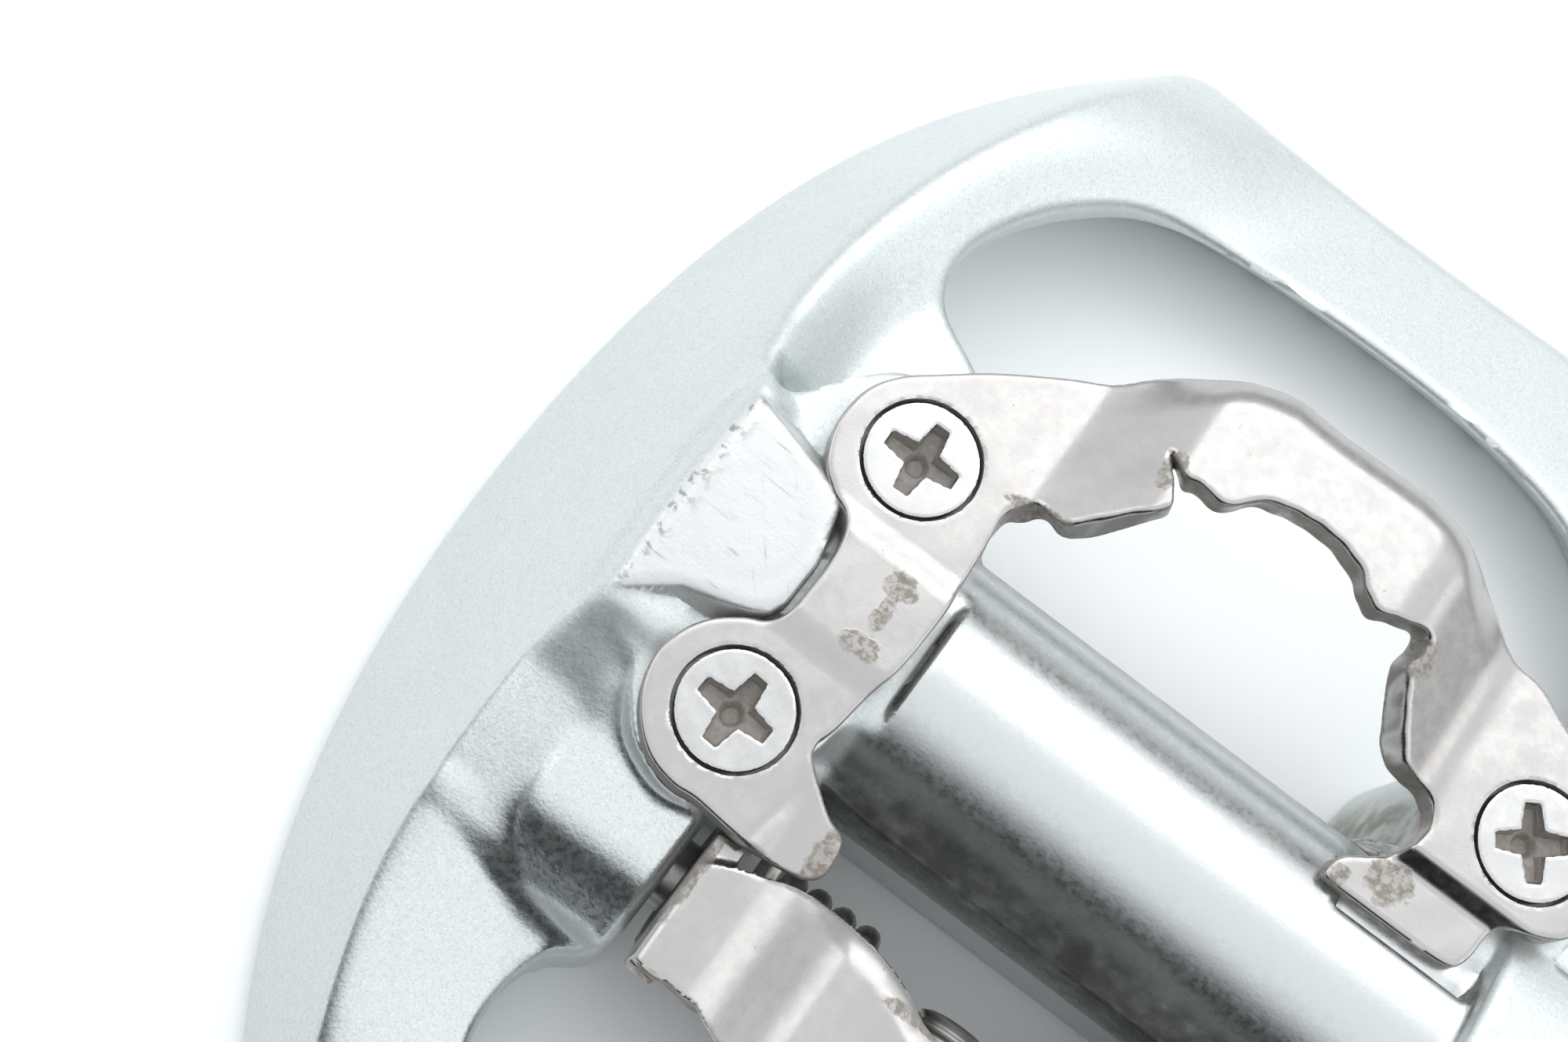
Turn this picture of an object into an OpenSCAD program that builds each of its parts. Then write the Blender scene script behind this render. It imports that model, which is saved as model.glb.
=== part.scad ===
// Clipless bicycle pedal: cleat binding on the upper side, flat platform on the lower side.
// All sizes are in millimetres. The origin is on the spindle axis, at the face of the
// spindle's shoulder that meets the crank arm. +X points along the thread towards the crank,
// +Y towards the front of the pedal and +Z up, with the cleat binding uppermost.

/* [Platform] */
// Distance from the spindle's shoulder to the middle of the cleat
cleat_offset = 54; // [53.5:0.1:54.5]
// Half the fore and aft length of the platform
platform_half_l = 54.8; // [54:0.1:56]
// Distance from the cleat's middle to the outermost point of the rim
rim_reach = 45.9; // [45.5:0.1:46.5]
// Radius of the rim's curve seen from above
rim_curve_r = 92; // [90:1:95]
// Height of the platform's flat side below the spindle axis
flat_side_drop = 11.5; // [11.3:0.1:12.5]
// Height of the bare pad beside the binding plate, above the spindle axis
pad_top = 10.3; // [10.2:0.05:10.4]
// Slope of the rim's outer face, as inward run for each millimetre of rise
rim_slope = 0.61; // [0.58:0.01:0.64]

/* [Barrel] */
// Radius of the barrel that holds the spindle
barrel_r = 9.5; // [9.3:0.1:9.8]
// Radius of the housing around the lock bolt
housing_r = 12; // [11.8:0.1:12.3]
// Radius of the long bore for the bearing sleeve
sleeve_bore_r = 7.22; // [7.22:0.01:7.24]

/* [Spindle] */
// Outside radius of the crank thread
thread_r = 7.14; // [7.1:0.01:7.2]
// Length of the crank thread
thread_l = 13; // [12:0.1:14]
// Radius of the shoulder that bears on the crank arm
shoulder_r = 9; // [8.8:0.1:9.4]
// Distance across the two spanner flats
flats_w = 15; // [14.8:0.1:15.2]
// Radius of the spindle where the plain bush runs
journal_r = 6.3; // [6.2:0.01:6.35]

/* [Bearings] */
// Radius of one bearing ball
ball_r = 1.19; // [1.15:0.01:1.19]
// Radius of the circle through the ball centres
ball_circle_r = 5; // [4.95:0.01:5.02]
// Number of balls in a row
balls_in_row = 12; // [10:1:12]
// Distance from the inboard row of balls to the spindle's shoulder
inboard_row_at = 69.2; // [69:0.1:69.4]
// Distance from the outboard row of balls to the spindle's shoulder
outboard_row_at = 76.8; // [76.6:0.1:77]

/* [Binding] */
// Thickness of the pressed steel of the binding plate
plate_t = 2.2; // [2:0.1:2.4]
// Height of the binding plate's top over its screws
plate_top = 10.4; // [10.3:0.05:10.4]
// Height of the top of the fixed front arch
arch_top = 14.6; // [14.2:0.1:14.8]
// Radius of a binding screw's head
screw_head_r = 3.85; // [3.7:0.05:3.9]
// Radius of the hole around a screw head
screw_hole_r = 4; // [3.95:0.05:4.1]
// Distance of the claw's pivot behind the spindle axis
pivot_back = 18.5; // [18.4:0.1:18.8]
// Height of the claw's pivot
pivot_z = -1; // [-1.2:0.1:-0.8]
// Radius of the pivot pin
pivot_pin_r = 2.5; // [2.4:0.05:2.5]
// Half the width of the rear claw
claw_half_w = 19; // [18.8:0.1:19.2]
// Radius of the wire of a torsion spring
spring_wire_r = 1; // [0.9:0.05:1]
// Radius of the tension bolt
tension_r = 2.5; // [2.4:0.05:2.5]

/* [Hidden] */
$fn = 64;
eps = 0.02;
// Run for a running fit and for two parts that are pressed together
run_gap = 0.04;
seat_gap = 0.02;
// Platform levels
flat_z = -flat_side_drop;
edge_chamfer = 1.2;
arm_top = 2;
arm_mid_y = 27;
bar_inner_y = 42.5;
bar_inner_z = -3.5;
bar_outer_y = 53.4;
bar_outer_z = -7;
pocket_top = -4;
rim_centre_u = rim_curve_r - rim_reach;
// Screws: place across, place fore and aft, turn of the cross
screw_places = [[-22.6, 10, 2], [-22.6, -10, -3], [22.6, 14, 32]];
screw_boss_r = 5.7;
screw_shank_r = 2.5;
screw_l = 9;
head_rim = 0.8;
// Binding levels
plate_low = plate_top - plate_t;
lug_top = plate_low - eps;
claw_lug_top = 6;
claw_lug_back = -23.5;
claw_slot = claw_half_w + 0.9;
steel_t = 2.2;
tension_z = 5.5;
claw_leg_top = 9;
claw_top = 14;
// Bearing levels, as distances from the shoulder
sleeve_out_end = outboard_row_at + 3.2;
sleeve_in_end = 28.02;
sleeve_flange_r = 8.6;
sleeve_r = sleeve_bore_r - seat_gap;
bore_end = 85.5;
journal_end = 28;
nut_face = 81.4;
lock_thread_r = 9.55;
// Contact of a ball with its race at 45 degrees
race_step = (ball_r + run_gap) * sin(45);
// Where a cup's cone meets the sleeve's bore, measured from its row of balls
cup_start = 2 * race_step + ball_circle_r - 6.3;

module steel() color([0.62, 0.6, 0.58]) children();
module plated() color([0.7, 0.68, 0.66]) children();
module cast() color([0.75, 0.77, 0.78]) children();

// A solid or hole around the spindle axis between two distances from the shoulder
module round_x(r, from, to, tip_r = -1) {
    translate([-to, 0, 0])
    rotate([0, 90, 0])
    cylinder(r1 = tip_r < 0 ? r : tip_r, r2 = r, h = to - from);
}

// Places a shape drawn around the middle of the cleat
module at_cleat() translate([-cleat_offset, 0, 0]) children();

// A prism with its outline seen from the side, as pairs of y and z, along X
module side_prism(outline, from_u, to_u) {
    translate([from_u, 0, 0])
    rotate([90, 0, 90])
    linear_extrude(to_u - from_u)
    polygon(outline);
}

// A prism with its outline seen from above, as pairs of x and y
module plan_prism(outline, low, high) {
    translate([0, 0, low])
    linear_extrude(high - low)
    polygon(outline);
}

function mirror_y(points) = [for (p = points) [p.x, -p.y]];
function mirror_x(points) = [for (p = points) [-p.x, p.y]];
function reversed(points) = [for (i = [len(points) - 1 : -1 : 0]) points[i]];

// ---- Spindle group ----

module spindle() steel() difference() {
    union() {
        translate([-eps, 0, 0])
        rotate([0, 90, 0])
        cylinder(r = thread_r, h = thread_l - 0.8 + eps);
        translate([thread_l - 0.8, 0, 0])
        rotate([0, 90, 0])
        cylinder(r1 = thread_r, r2 = thread_r - 0.8, h = 0.8);
        round_x(shoulder_r, 0, 1.5);
        round_x(shoulder_r - 0.3, 1.5, 9);
        round_x(journal_r, 9 - eps, journal_end);
        round_x(journal_r, journal_end - eps, inboard_row_at - 3.8, 4.86);
        round_x(3.9, inboard_row_at - 3.8 - eps, inboard_row_at - 0.8);
        round_x(3.5, inboard_row_at - 0.8 - eps, 84.4);
    }
    for (side = [-1, 1])
        translate([-8.5, side * (flats_w / 2 + 5) - 5, -shoulder_r - 1])
        cube([7, 10, 2 * shoulder_r + 2]);
    // Socket for a hexagon key in the thread's end
    translate([thread_l - 7, 0, 0])
    rotate([0, 90, 0])
    cylinder(r = 3.46, h = 8, $fn = 6);
}

// A race's radius where it meets the ball is race_line; a cone runs from there at 45 degrees
race_line = ball_circle_r - race_step;
race_full_r = 4.86;

module race_ring() steel() difference() {
    union() {
        round_x(race_full_r, inboard_row_at - 3.75, inboard_row_at - race_step - race_full_r + race_line);
        round_x(race_full_r, inboard_row_at - race_step - race_full_r + race_line - eps,
            inboard_row_at - race_step + 0.08, race_line - 0.1);
    }
    round_x(3.92, inboard_row_at - 4, inboard_row_at + 2);
}

module adjusting_cone() steel() difference() {
    union() {
        translate([-outboard_row_at - race_step - race_full_r + race_line, 0, 0])
        rotate([0, 90, 0])
        cylinder(r1 = race_full_r, r2 = race_line - 0.1, h = race_full_r - race_line + 0.08);
        round_x(race_full_r, outboard_row_at + race_step + race_full_r - race_line - eps, nut_face - 0.1);
    }
    round_x(3.52, outboard_row_at, nut_face + 1);
    for (side = [-1, 1])
        translate([-nut_face - 1, side * 6.9 - 2.5, -6])
        cube([2.6, 5, 12]);
}

module lock_nut() steel() difference() {
    translate([-nut_face - 2.4, 0, 0])
    rotate([0, 90, 0])
    cylinder(r = 5.6, h = 2.4, $fn = 6);
    round_x(3.52, nut_face - 1, nut_face + 4);
}

module ball_row(at) {
    for (i = [0 : balls_in_row - 1])
        rotate([i * 360 / balls_in_row, 0, 0])
        translate([-at, 0, ball_circle_r])
        sphere(r = ball_r);
}

module inboard_balls() plated() ball_row(inboard_row_at);
module outboard_balls() plated() ball_row(outboard_row_at);

module bearing_sleeve() steel() difference() {
    union() {
        round_x(sleeve_r, sleeve_in_end, sleeve_out_end);
        round_x(sleeve_flange_r, sleeve_in_end, sleeve_in_end + 2);
    }
    // Room for the spindle, with a shelf between the two rows
    round_x(5.2, sleeve_in_end - 1, sleeve_out_end + 1);
    round_x(6.9, sleeve_in_end - 1, inboard_row_at - 8);
    round_x(6.3, inboard_row_at - 8 - eps, inboard_row_at + cup_start + eps);
    round_x(6.3, outboard_row_at - cup_start - eps, sleeve_out_end + 1);
    // The two cups
    round_x(6.3, inboard_row_at + cup_start, inboard_row_at + cup_start + 1.1, 5.2);
    translate([-outboard_row_at + cup_start, 0, 0])
    rotate([0, 90, 0])
    cylinder(r1 = 6.3, r2 = 5.2, h = 1.1);
}

module inboard_bushing() color([0.85, 0.83, 0.76]) difference() {
    round_x(7.68, 17, 27.9);
    round_x(journal_r + run_gap, 16, 29);
}

module lock_bolt() color([0.12, 0.12, 0.13]) difference() {
    union() {
        round_x(lock_thread_r, 17 - eps, 28);
        round_x(11.5, 15, 17 - eps);
        round_x(10.6, 10, 15 + eps);
    }
    round_x(7.7, 16.9, 29);
    round_x(7.05, 9, 18);
    round_x(8.4, 9, 13);
    // Splines for the tool
    for (i = [0 : 17])
        rotate([i * 20, 0, 0])
        translate([-14.6, -0.8, 9.7])
        cube([6, 1.6, 2]);
}

module axle_seal() color([0.08, 0.08, 0.08]) difference() {
    union() {
        round_x(8.38, 10.2, 12.9);
        round_x(7.4, 9.3, 10.2 + eps);
    }
    round_x(journal_r + 0.05, 9, 14);
}

// ---- Pedal body ----

// Outline of the frame's top seen from the side, front half
arm_profile = [[platform_half_l - edge_chamfer, flat_z], [platform_half_l, flat_z + edge_chamfer],
    [platform_half_l, flat_z + edge_chamfer + 1.5], [bar_outer_y, bar_outer_z],
    [bar_inner_y, bar_inner_z], [arm_mid_y, 0], [13, arm_top]];
ridge_profile = [[platform_half_l, flat_z], [platform_half_l, -9.6], [50, -5.2], [42, -1],
    [28, 2.1], [20, 4.6], [14.5, 7.2], [9, pad_top]];
window_left = [[-15, 0], [-15, 10.5], [-16.9, 14], [-19.5, 17.2], [-25.9, 21], [-27.9, 26.2],
    [-26.9, 30], [-24, 34.8], [-20.2, 39.2], [-15.4, 41.2], [-10, 42.1], [-4, 42.5]];
window_right = [[16, 0], [16, 10.5], [16.9, 15], [18.4, 18.6], [21, 20.6], [25, 22.2],
    [26.2, 26.2], [25.2, 30], [22.3, 34.8], [18.5, 39.2], [14, 41.2], [8.5, 42.1], [3, 42.5]];
rear_window_left = [[-claw_slot, 0], [-claw_slot, 24.6], [-22.5, 26.2], [-24, 29.5], [-24, 33],
    [-22.4, 37.4], [-18.4, 40.6], [-12, 42], [-4, 42.5]];

// Outlines of the cored pockets, front half
pocket = [[-39.8, 3.4], [-39.8, 12], [-38.8, 20], [-37, 28], [-33.6, 36], [-31.2, 38.6], [-29.4, 36],
    [-31, 30], [-31.6, 22.5], [-29.6, 18], [-29.6, 10.6], [-32, 8], [-36, 6.6]];
crank_pocket = [[30.6, 13], [33.2, 14.5], [33.2, 25], [29.4, 35], [28.4, 33], [29.4, 26],
    [29, 21], [29.4, 16]];

module rim_cone() {
    translate([rim_centre_u, 0, 0]) {
        translate([0, 0, flat_z])
        cylinder(r1 = rim_curve_r - edge_chamfer, r2 = rim_curve_r, h = edge_chamfer, $fn = 256);
        translate([0, 0, flat_z + edge_chamfer - eps])
        cylinder(r1 = rim_curve_r, r2 = rim_curve_r - rim_slope * (pad_top - flat_z - edge_chamfer),
            h = pad_top - flat_z - edge_chamfer + eps, $fn = 256);
    }
}

module plan_footprint() {
    half = platform_half_l + 1;
    plan_prism([[-60, -half], [24, -half], [37, -26], [37, 26], [24, half], [-60, half]],
        flat_z - 1, pad_top + 1);
}

// Low frame: bars fore and aft, arms between them and the barrel
module low_frame() intersection() {
    rim_cone();
    plan_footprint();
    side_prism(concat(arm_profile, reversed(mirror_x(arm_profile))), -60, 60);
}

// Raised rim along the outboard edge
module rim_ridge() difference() {
    intersection() {
        rim_cone();
        side_prism(concat(ridge_profile, reversed(mirror_x(ridge_profile))), -60, -20);
    }
    translate([rim_centre_u, 0, flat_z - 1])
    cylinder(r = rim_curve_r - 9.8, h = 40, $fn = 256);
}

module windows() {
    plan_prism(concat(window_left, reversed(window_right)), flat_z - 1, 20);
    plan_prism(mirror_y(concat(rear_window_left, reversed(mirror_x(rear_window_left)))),
        flat_z - 1, 20);
}

// Pad, screw lugs and claw lugs that rise above the frame
module lugs() {
    intersection() {
        rim_cone();
        plan_prism([[-50, -13], [-33, -9.5], [-25.6, -4.7], [-24.2, -4], [-24.2, 4],
            [-25.6, 4.7], [-33, 9.5], [-50, 13]], flat_z, pad_top);
    }
    for (place = screw_places)
        translate([place[0], place[1], flat_z + 2])
        cylinder(r = screw_boss_r + 0.1, h = lug_top - flat_z - 2);
    plan_prism([[-31, -13.5], [-29, -4.4], [-17.2, -4.4], [-17.2, 4.4], [-29, 4.4], [-31, 13.5],
        [-27, 14.5], [-17, 12], [-15.2, 0], [-17, -9], [-20, -14.5]], flat_z + 2, lug_top - 0.6);
    plan_prism([[17.5, 4], [27, 4], [27, 16], [17.5, 16]], flat_z + 2, lug_top - 0.6);
    for (side = [-1, 1])
        side_prism([[0, flat_z], [0, claw_lug_top], [claw_lug_back, claw_lug_top],
            [claw_lug_back - 1.6, 1], [claw_lug_back - 1.6, flat_z]],
            side < 0 ? -30 : claw_slot, side < 0 ? -claw_slot : 30);
}

module pedal_body() cast() difference() {
    at_cleat() union() {
        difference() {
            union() {
                low_frame();
                rim_ridge();
            }
            windows();
        }
        lugs();
        translate([-34, 0, 0])
        rotate([0, 90, 0])
        cylinder(r = barrel_r, h = 60);
        translate([25.5, 0, 0])
        rotate([0, 90, 0])
        cylinder(r = housing_r - 0.5, h = 11.5);
        // Flat ribs under the barrel, level with the platform's flat side
        plan_prism([[-34, -6], [37, -6], [37, 6], [-34, 6]], flat_z, flat_z + 3.5);
    }
    // Seats for the binding plate and its tongue, and room for the claw
    at_cleat() {
        plan_prism([[-24, -16.2], [-12, -16.2], [-15.2, -9], [-15.2, 30], [-24, 30]], lug_top, 12);
        translate([12.2, 2.9, lug_top])
        cube([11.9, 20, 4]);
        translate([-claw_slot, -26, flat_z - 1])
        cube([2 * claw_slot, 13.4, 22]);
    }
    round_x(sleeve_bore_r, 27, bore_end);
    round_x(sleeve_flange_r + seat_gap, 27, sleeve_in_end + 2.02);
    round_x(lock_thread_r + seat_gap, 16, 28.02);
    at_cleat() {
        for (place = screw_places)
            translate([place[0], place[1], plate_low - screw_l])
            cylinder(r = screw_shank_r + seat_gap, h = screw_l + 1);
        translate([-25.5, -pivot_back, pivot_z])
        rotate([0, 90, 0])
        cylinder(r = pivot_pin_r + seat_gap, h = 51);
        // Cored pockets in the flat side, beside the barrel and in the arms
        for (side = [-1, 1]) {
            plan_prism(side < 0 ? mirror_y(pocket) : pocket, flat_z - 1, pocket_top);
            plan_prism(side < 0 ? mirror_y(crank_pocket) : crank_pocket, flat_z - 1, pocket_top);
        }
        // Grip grooves across the flat side of both bars
        for (end = [-1, 1], i = [-4 : 4])
            translate([i * 5 - 0.75, end * 48.8 - 3, flat_z - eps])
            cube([1.5, 6, 0.8]);
    }
}

// ---- Binding ----

// One flat piece of the pressed plate whose outline leans up towards the arch
module leaning(outline, hinge_u, low, lean) {
    translate([hinge_u, 0, low])
    rotate([0, lean, 0])
    translate([-hinge_u, 0, 0])
    linear_extrude(plate_t)
    polygon(outline);
}

module screw_recess() {
    translate([0, 0, plate_low - 1])
    cylinder(r = screw_shank_r + 0.15, h = plate_t + 2);
    translate([0, 0, plate_low - eps])
    cylinder(r1 = screw_shank_r + 0.15, r2 = screw_hole_r, h = plate_t - head_rim + eps);
    translate([0, 0, plate_top - head_rim - eps])
    cylinder(r = screw_hole_r, h = 3);
}

module binding_plate() plated() at_cleat() difference() {
    union() {
        for (place = screw_places)
            translate([place[0], place[1], plate_low])
            cylinder(r = screw_boss_r, h = plate_t);
        // Outboard flat with its bridge between the two screws and the tail behind them
        plan_prism([[-26, 14.5], [-22, 18.5], [-18, 20], [-15.8, 21], [-15.8, 10], [-15.5, 5],
            [-15.8, 0], [-16.5, -4], [-17.3, -9], [-15.4, -12], [-16.2, -15.4], [-19.5, -14.8],
            [-23, -10], [-23.6, -4.4], [-23.6, 4.4], [-23, 10]], plate_low, plate_top);
        leaning([[-17.4, -9], [-14, -10], [-12.6, -14], [-13.4, -15.7], [-16.4, -15.4]],
            -15.6, plate_low - 0.2, 22);
        // Inboard flat, with the tongue that grips the barrel's flat
        plan_prism([[15.2, 9.8], [15.2, 23.2], [18, 22.5], [20.5, 21.7], [26.5, 18], [22.6, 14],
            [24, 9], [24, 5.4], [22.5, 4.3], [14, 4.3], [12.6, 5.8], [13.4, 7.4], [16.8, 8.4]],
            plate_low, plate_top);
        // Legs that rise to the arch
        leaning([[-16.2, 10.2], [-12.8, 11], [-9, 16.4], [-7.4, 19.2], [-7.4, 28.2], [-10, 27.3],
            [-13, 24.5], [-16.2, 21]], -15.8, plate_low, -24);
        leaning([[15.6, 9.8], [12.2, 11.8], [9.2, 16], [7.4, 19], [7.4, 28.6], [9.4, 28.2],
            [12.2, 26], [15.6, 23]], 15.2, plate_low, 26);
        // Arch top with its worn inner edge
        plan_prism([[-8.6, 16.9], [-8.2, 18.2], [-6.8, 19.2], [-4.6, 19.7], [-2.6, 21.6],
            [0, 22.3], [2.8, 21.8], [4.8, 20.3], [7, 19.2], [8.2, 17.6], [8.8, 16.6], [8.8, 28.6],
            [5, 29.4], [0, 29.1], [-6.6, 29.1], [-8.6, 28.2]], arch_top - plate_t, arch_top);
    }
    for (place = screw_places)
        translate([place[0], place[1], 0])
        screw_recess();
}

module plate_screws() plated() at_cleat() {
    for (place = screw_places)
        translate([place[0], place[1], 0])
        difference() {
            union() {
                translate([0, 0, plate_low - screw_l + 1])
                cylinder(r = screw_shank_r, h = screw_l);
                translate([0, 0, plate_low + 0.1])
                cylinder(r1 = screw_shank_r, r2 = screw_head_r, h = plate_t - head_rim - 0.1);
                translate([0, 0, plate_top - head_rim - eps])
                cylinder(r = screw_head_r, h = head_rim + eps);
            }
            for (turn = [0, 90])
                rotate([0, 0, turn + place[2]])
                translate([-2.45, -0.55, plate_top - 1.9])
                cube([4.9, 1.1, 3]);
        }
}

module pivot_pin() steel() at_cleat()
    translate([-25, -pivot_back, pivot_z])
    rotate([0, 90, 0])
    cylinder(r = pivot_pin_r, h = 50);

// One side wall of the claw, with the eye for the pivot pin
module claw_cheek(side) {
    side_prism([[-17.6, claw_leg_top], [-25.4, claw_leg_top], [-25.4, 6.5], [-22.9, pivot_z],
        [-14.1, pivot_z], [-15.6, 5]],
        side < 0 ? -claw_half_w : claw_half_w - steel_t,
        side < 0 ? -claw_half_w + steel_t : claw_half_w);
    translate([side < 0 ? -claw_half_w : claw_half_w - steel_t, -pivot_back, pivot_z])
    rotate([0, 90, 0])
    cylinder(r = 4.4, h = steel_t);
}

module claw_leg(side) {
    plan_prism(side < 0 ? [[-19, -17.6], [-14, -16.3], [-14, -26.2], [-19, -25.4]]
        : [[19, -17.6], [14, -16.3], [14, -26.2], [19, -25.4]],
        claw_leg_top - steel_t, claw_leg_top);
    translate([side * 14.2, 0, claw_leg_top - steel_t])
    rotate([0, side * 42, 0])
    translate([-side * 14.2, 0, 0])
    linear_extrude(steel_t)
    polygon(side < 0 ? [[-14.4, -16.4], [-7.4, -16], [-7.4, -28], [-14.4, -26.4]]
        : [[14.4, -16.4], [7.4, -16], [7.4, -28], [14.4, -26.4]]);
}

module rear_claw() plated() at_cleat() difference() {
    union() {
        for (side = [-1, 1]) {
            claw_cheek(side);
            claw_leg(side);
        }
        // Hooked top with the notch that takes the cleat's tail
        plan_prism([[-9.2, -15.8], [-5.4, -16.8], [-2.4, -19], [0, -19.6], [2.4, -19], [5.4, -16.8],
            [9.2, -15.8], [9.2, -27.6], [-9.2, -27.6]], claw_top - steel_t, claw_top);
        // Back wall, sloping down from the top to the tension bolt
        side_prism([[-27.4, claw_top], [-25.6, claw_top], [-28.6, 9.5], [-28.6, 0.5], [-31, 0.5],
            [-31, 10.2]], -9.2, 9.2);
    }
    translate([-claw_half_w - 1, -pivot_back, pivot_z])
    rotate([0, 90, 0])
    cylinder(r = pivot_pin_r + 0.06, h = 2 * claw_half_w + 2);
    translate([0, -26, tension_z])
    rotate([90, 0, 0])
    cylinder(r = tension_r + 0.05, h = 8);
}

module torsion_spring(side) steel() at_cleat() {
    coils = 5;
    coil_r = pivot_pin_r + 0.6 + spring_wire_r;
    first_u = 6;
    coil_pitch = 2.04 * spring_wire_r;
    last_u = first_u + (coils - 1) * coil_pitch;
    for (i = [0 : coils - 1])
        translate([side * (first_u + i * coil_pitch), -pivot_back, pivot_z])
        rotate([0, 90, 0])
        rotate_extrude()
        translate([coil_r, 0])
        circle(r = spring_wire_r, $fn = 24);
    // Arm that rises behind the tension nut and pushes it forwards
    translate([side * first_u, -pivot_back - coil_r + 0.1, pivot_z])
    cylinder(r = 0.8 * spring_wire_r, h = 8.4, $fn = 24);
    // Arm that reaches forwards to the barrel
    translate([side * last_u, -pivot_back, pivot_z - coil_r + 0.1])
    rotate([-90, 0, 0])
    cylinder(r = 0.8 * spring_wire_r, h = 9.4, $fn = 24);
}

module left_spring() torsion_spring(-1);
module right_spring() torsion_spring(1);

module tension_bolt() steel() at_cleat()
    translate([0, 0, tension_z])
    rotate([90, 0, 0])
    difference() {
        union() {
            translate([0, 0, 16.5])
            cylinder(r = tension_r, h = 15);
            translate([0, 0, 31.05])
            cylinder(r = 4.2, h = 3);
        }
        translate([0, 0, 32.2])
        cylinder(r = 1.73, h = 3, $fn = 6);
    }

module tension_nut() plated() at_cleat() difference() {
    translate([-8.5, -20.9, 4.2])
    cube([17, 2.6, 4.6]);
    translate([0, -15, tension_z])
    rotate([90, 0, 0])
    cylinder(r = tension_r + 0.05, h = 8);
}

spindle();
race_ring();
adjusting_cone();
lock_nut();
inboard_balls();
outboard_balls();
bearing_sleeve();
inboard_bushing();
lock_bolt();
axle_seal();
pedal_body();
binding_plate();
plate_screws();
pivot_pin();
rear_claw();
left_spring();
right_spring();
tension_bolt();
tension_nut();
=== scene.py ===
import math
import bpy
import numpy as np
from mathutils import Euler, Matrix, Vector


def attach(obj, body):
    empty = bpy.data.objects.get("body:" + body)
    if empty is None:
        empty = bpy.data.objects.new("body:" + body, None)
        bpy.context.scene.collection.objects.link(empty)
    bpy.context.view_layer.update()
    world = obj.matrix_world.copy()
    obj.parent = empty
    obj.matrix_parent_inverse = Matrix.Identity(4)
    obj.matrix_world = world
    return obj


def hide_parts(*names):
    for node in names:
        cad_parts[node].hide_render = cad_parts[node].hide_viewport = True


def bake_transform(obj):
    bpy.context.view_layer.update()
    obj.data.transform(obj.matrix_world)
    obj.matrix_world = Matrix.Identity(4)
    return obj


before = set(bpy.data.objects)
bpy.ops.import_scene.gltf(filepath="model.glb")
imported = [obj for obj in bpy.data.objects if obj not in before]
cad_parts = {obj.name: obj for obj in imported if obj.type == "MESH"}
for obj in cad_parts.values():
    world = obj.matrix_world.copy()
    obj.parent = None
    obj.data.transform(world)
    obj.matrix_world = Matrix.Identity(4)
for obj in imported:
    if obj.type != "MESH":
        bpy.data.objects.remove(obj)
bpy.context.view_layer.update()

# Shapes are worked out in millimetres around the middle of the cleat, with the spindle axis at
# y = z = 0, and moved into the row frame when the mesh is made.
CLEAT_X = -54.0
FLAT_Z = -11.5
RIM_FOOT = 9.9
RIM_SLOPE = 0.61
HALF_LENGTH = 54.7
BARREL_R = 9.5
SEAT_TOP = 8.15
PAD_TOP = 10.3
ARCH_TOP = 14.6
SCREW_BORE = 2.52
PIN_BORE = 2.52
CLAW_BORE = 2.58
PLATE_TOP = 10.4
PLATE_T = 2.2
PIVOT = np.array([0.0, -18.5, -1.0])
SCREWS = [(-22.6, 10.0, 2.0), (-22.6, -10.0, -3.0), (22.6, 14.0, 32.0)]


# ---------------------------------------------------------------- field tools

def smin(a, b, k):
    """Lowest of two fields, blended over a distance k."""
    h = np.clip(0.5 + 0.5 * (b - a) / k, 0, 1)
    return b * (1 - h) + a * h - k * h * (1 - h)


def smax(a, b, k):
    return -smin(-a, -b, k)


def smooth_table(xs, ys, blur=0.8, step=0.1):
    """A curve through points, rounded over a width, looked up by position."""
    x = np.arange(xs[0] - 5, xs[-1] + 5, step)
    y = np.interp(x, xs, ys)
    n = max(1, int(3 * blur / step))
    w = np.exp(-0.5 * (np.arange(-n, n + 1) * step / blur) ** 2)
    padded = np.concatenate([np.full(n, y[0]), y, np.full(n, y[-1])])
    y = np.convolve(padded, w / w.sum(), mode="valid")
    return lambda v: np.interp(v, x, y)


def smooth_step(v, a, b):
    t = np.clip((v - a) / (b - a), 0, 1)
    return t * t * (3 - 2 * t)


def curve_loop(points, per=10, closed=True):
    """A rounded closed line through control points."""
    p = np.array(points, float)
    n = len(p)
    out = []
    for i in range(n if closed else n - 1):
        a, b, c, d = p[(i - 1) % n], p[i], p[(i + 1) % n], p[(i + 2) % n]
        if not closed and i == 0:
            a = b
        if not closed and i == n - 2:
            d = c
        t = np.linspace(0, 1, per, endpoint=False)[:, None]
        out.append(0.5 * (2 * b + (c - a) * t + (2 * a - 5 * b + 4 * c - d) * t ** 2
                          + (3 * b - 3 * c + d - a) * t ** 3))
    return np.concatenate(out)


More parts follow.
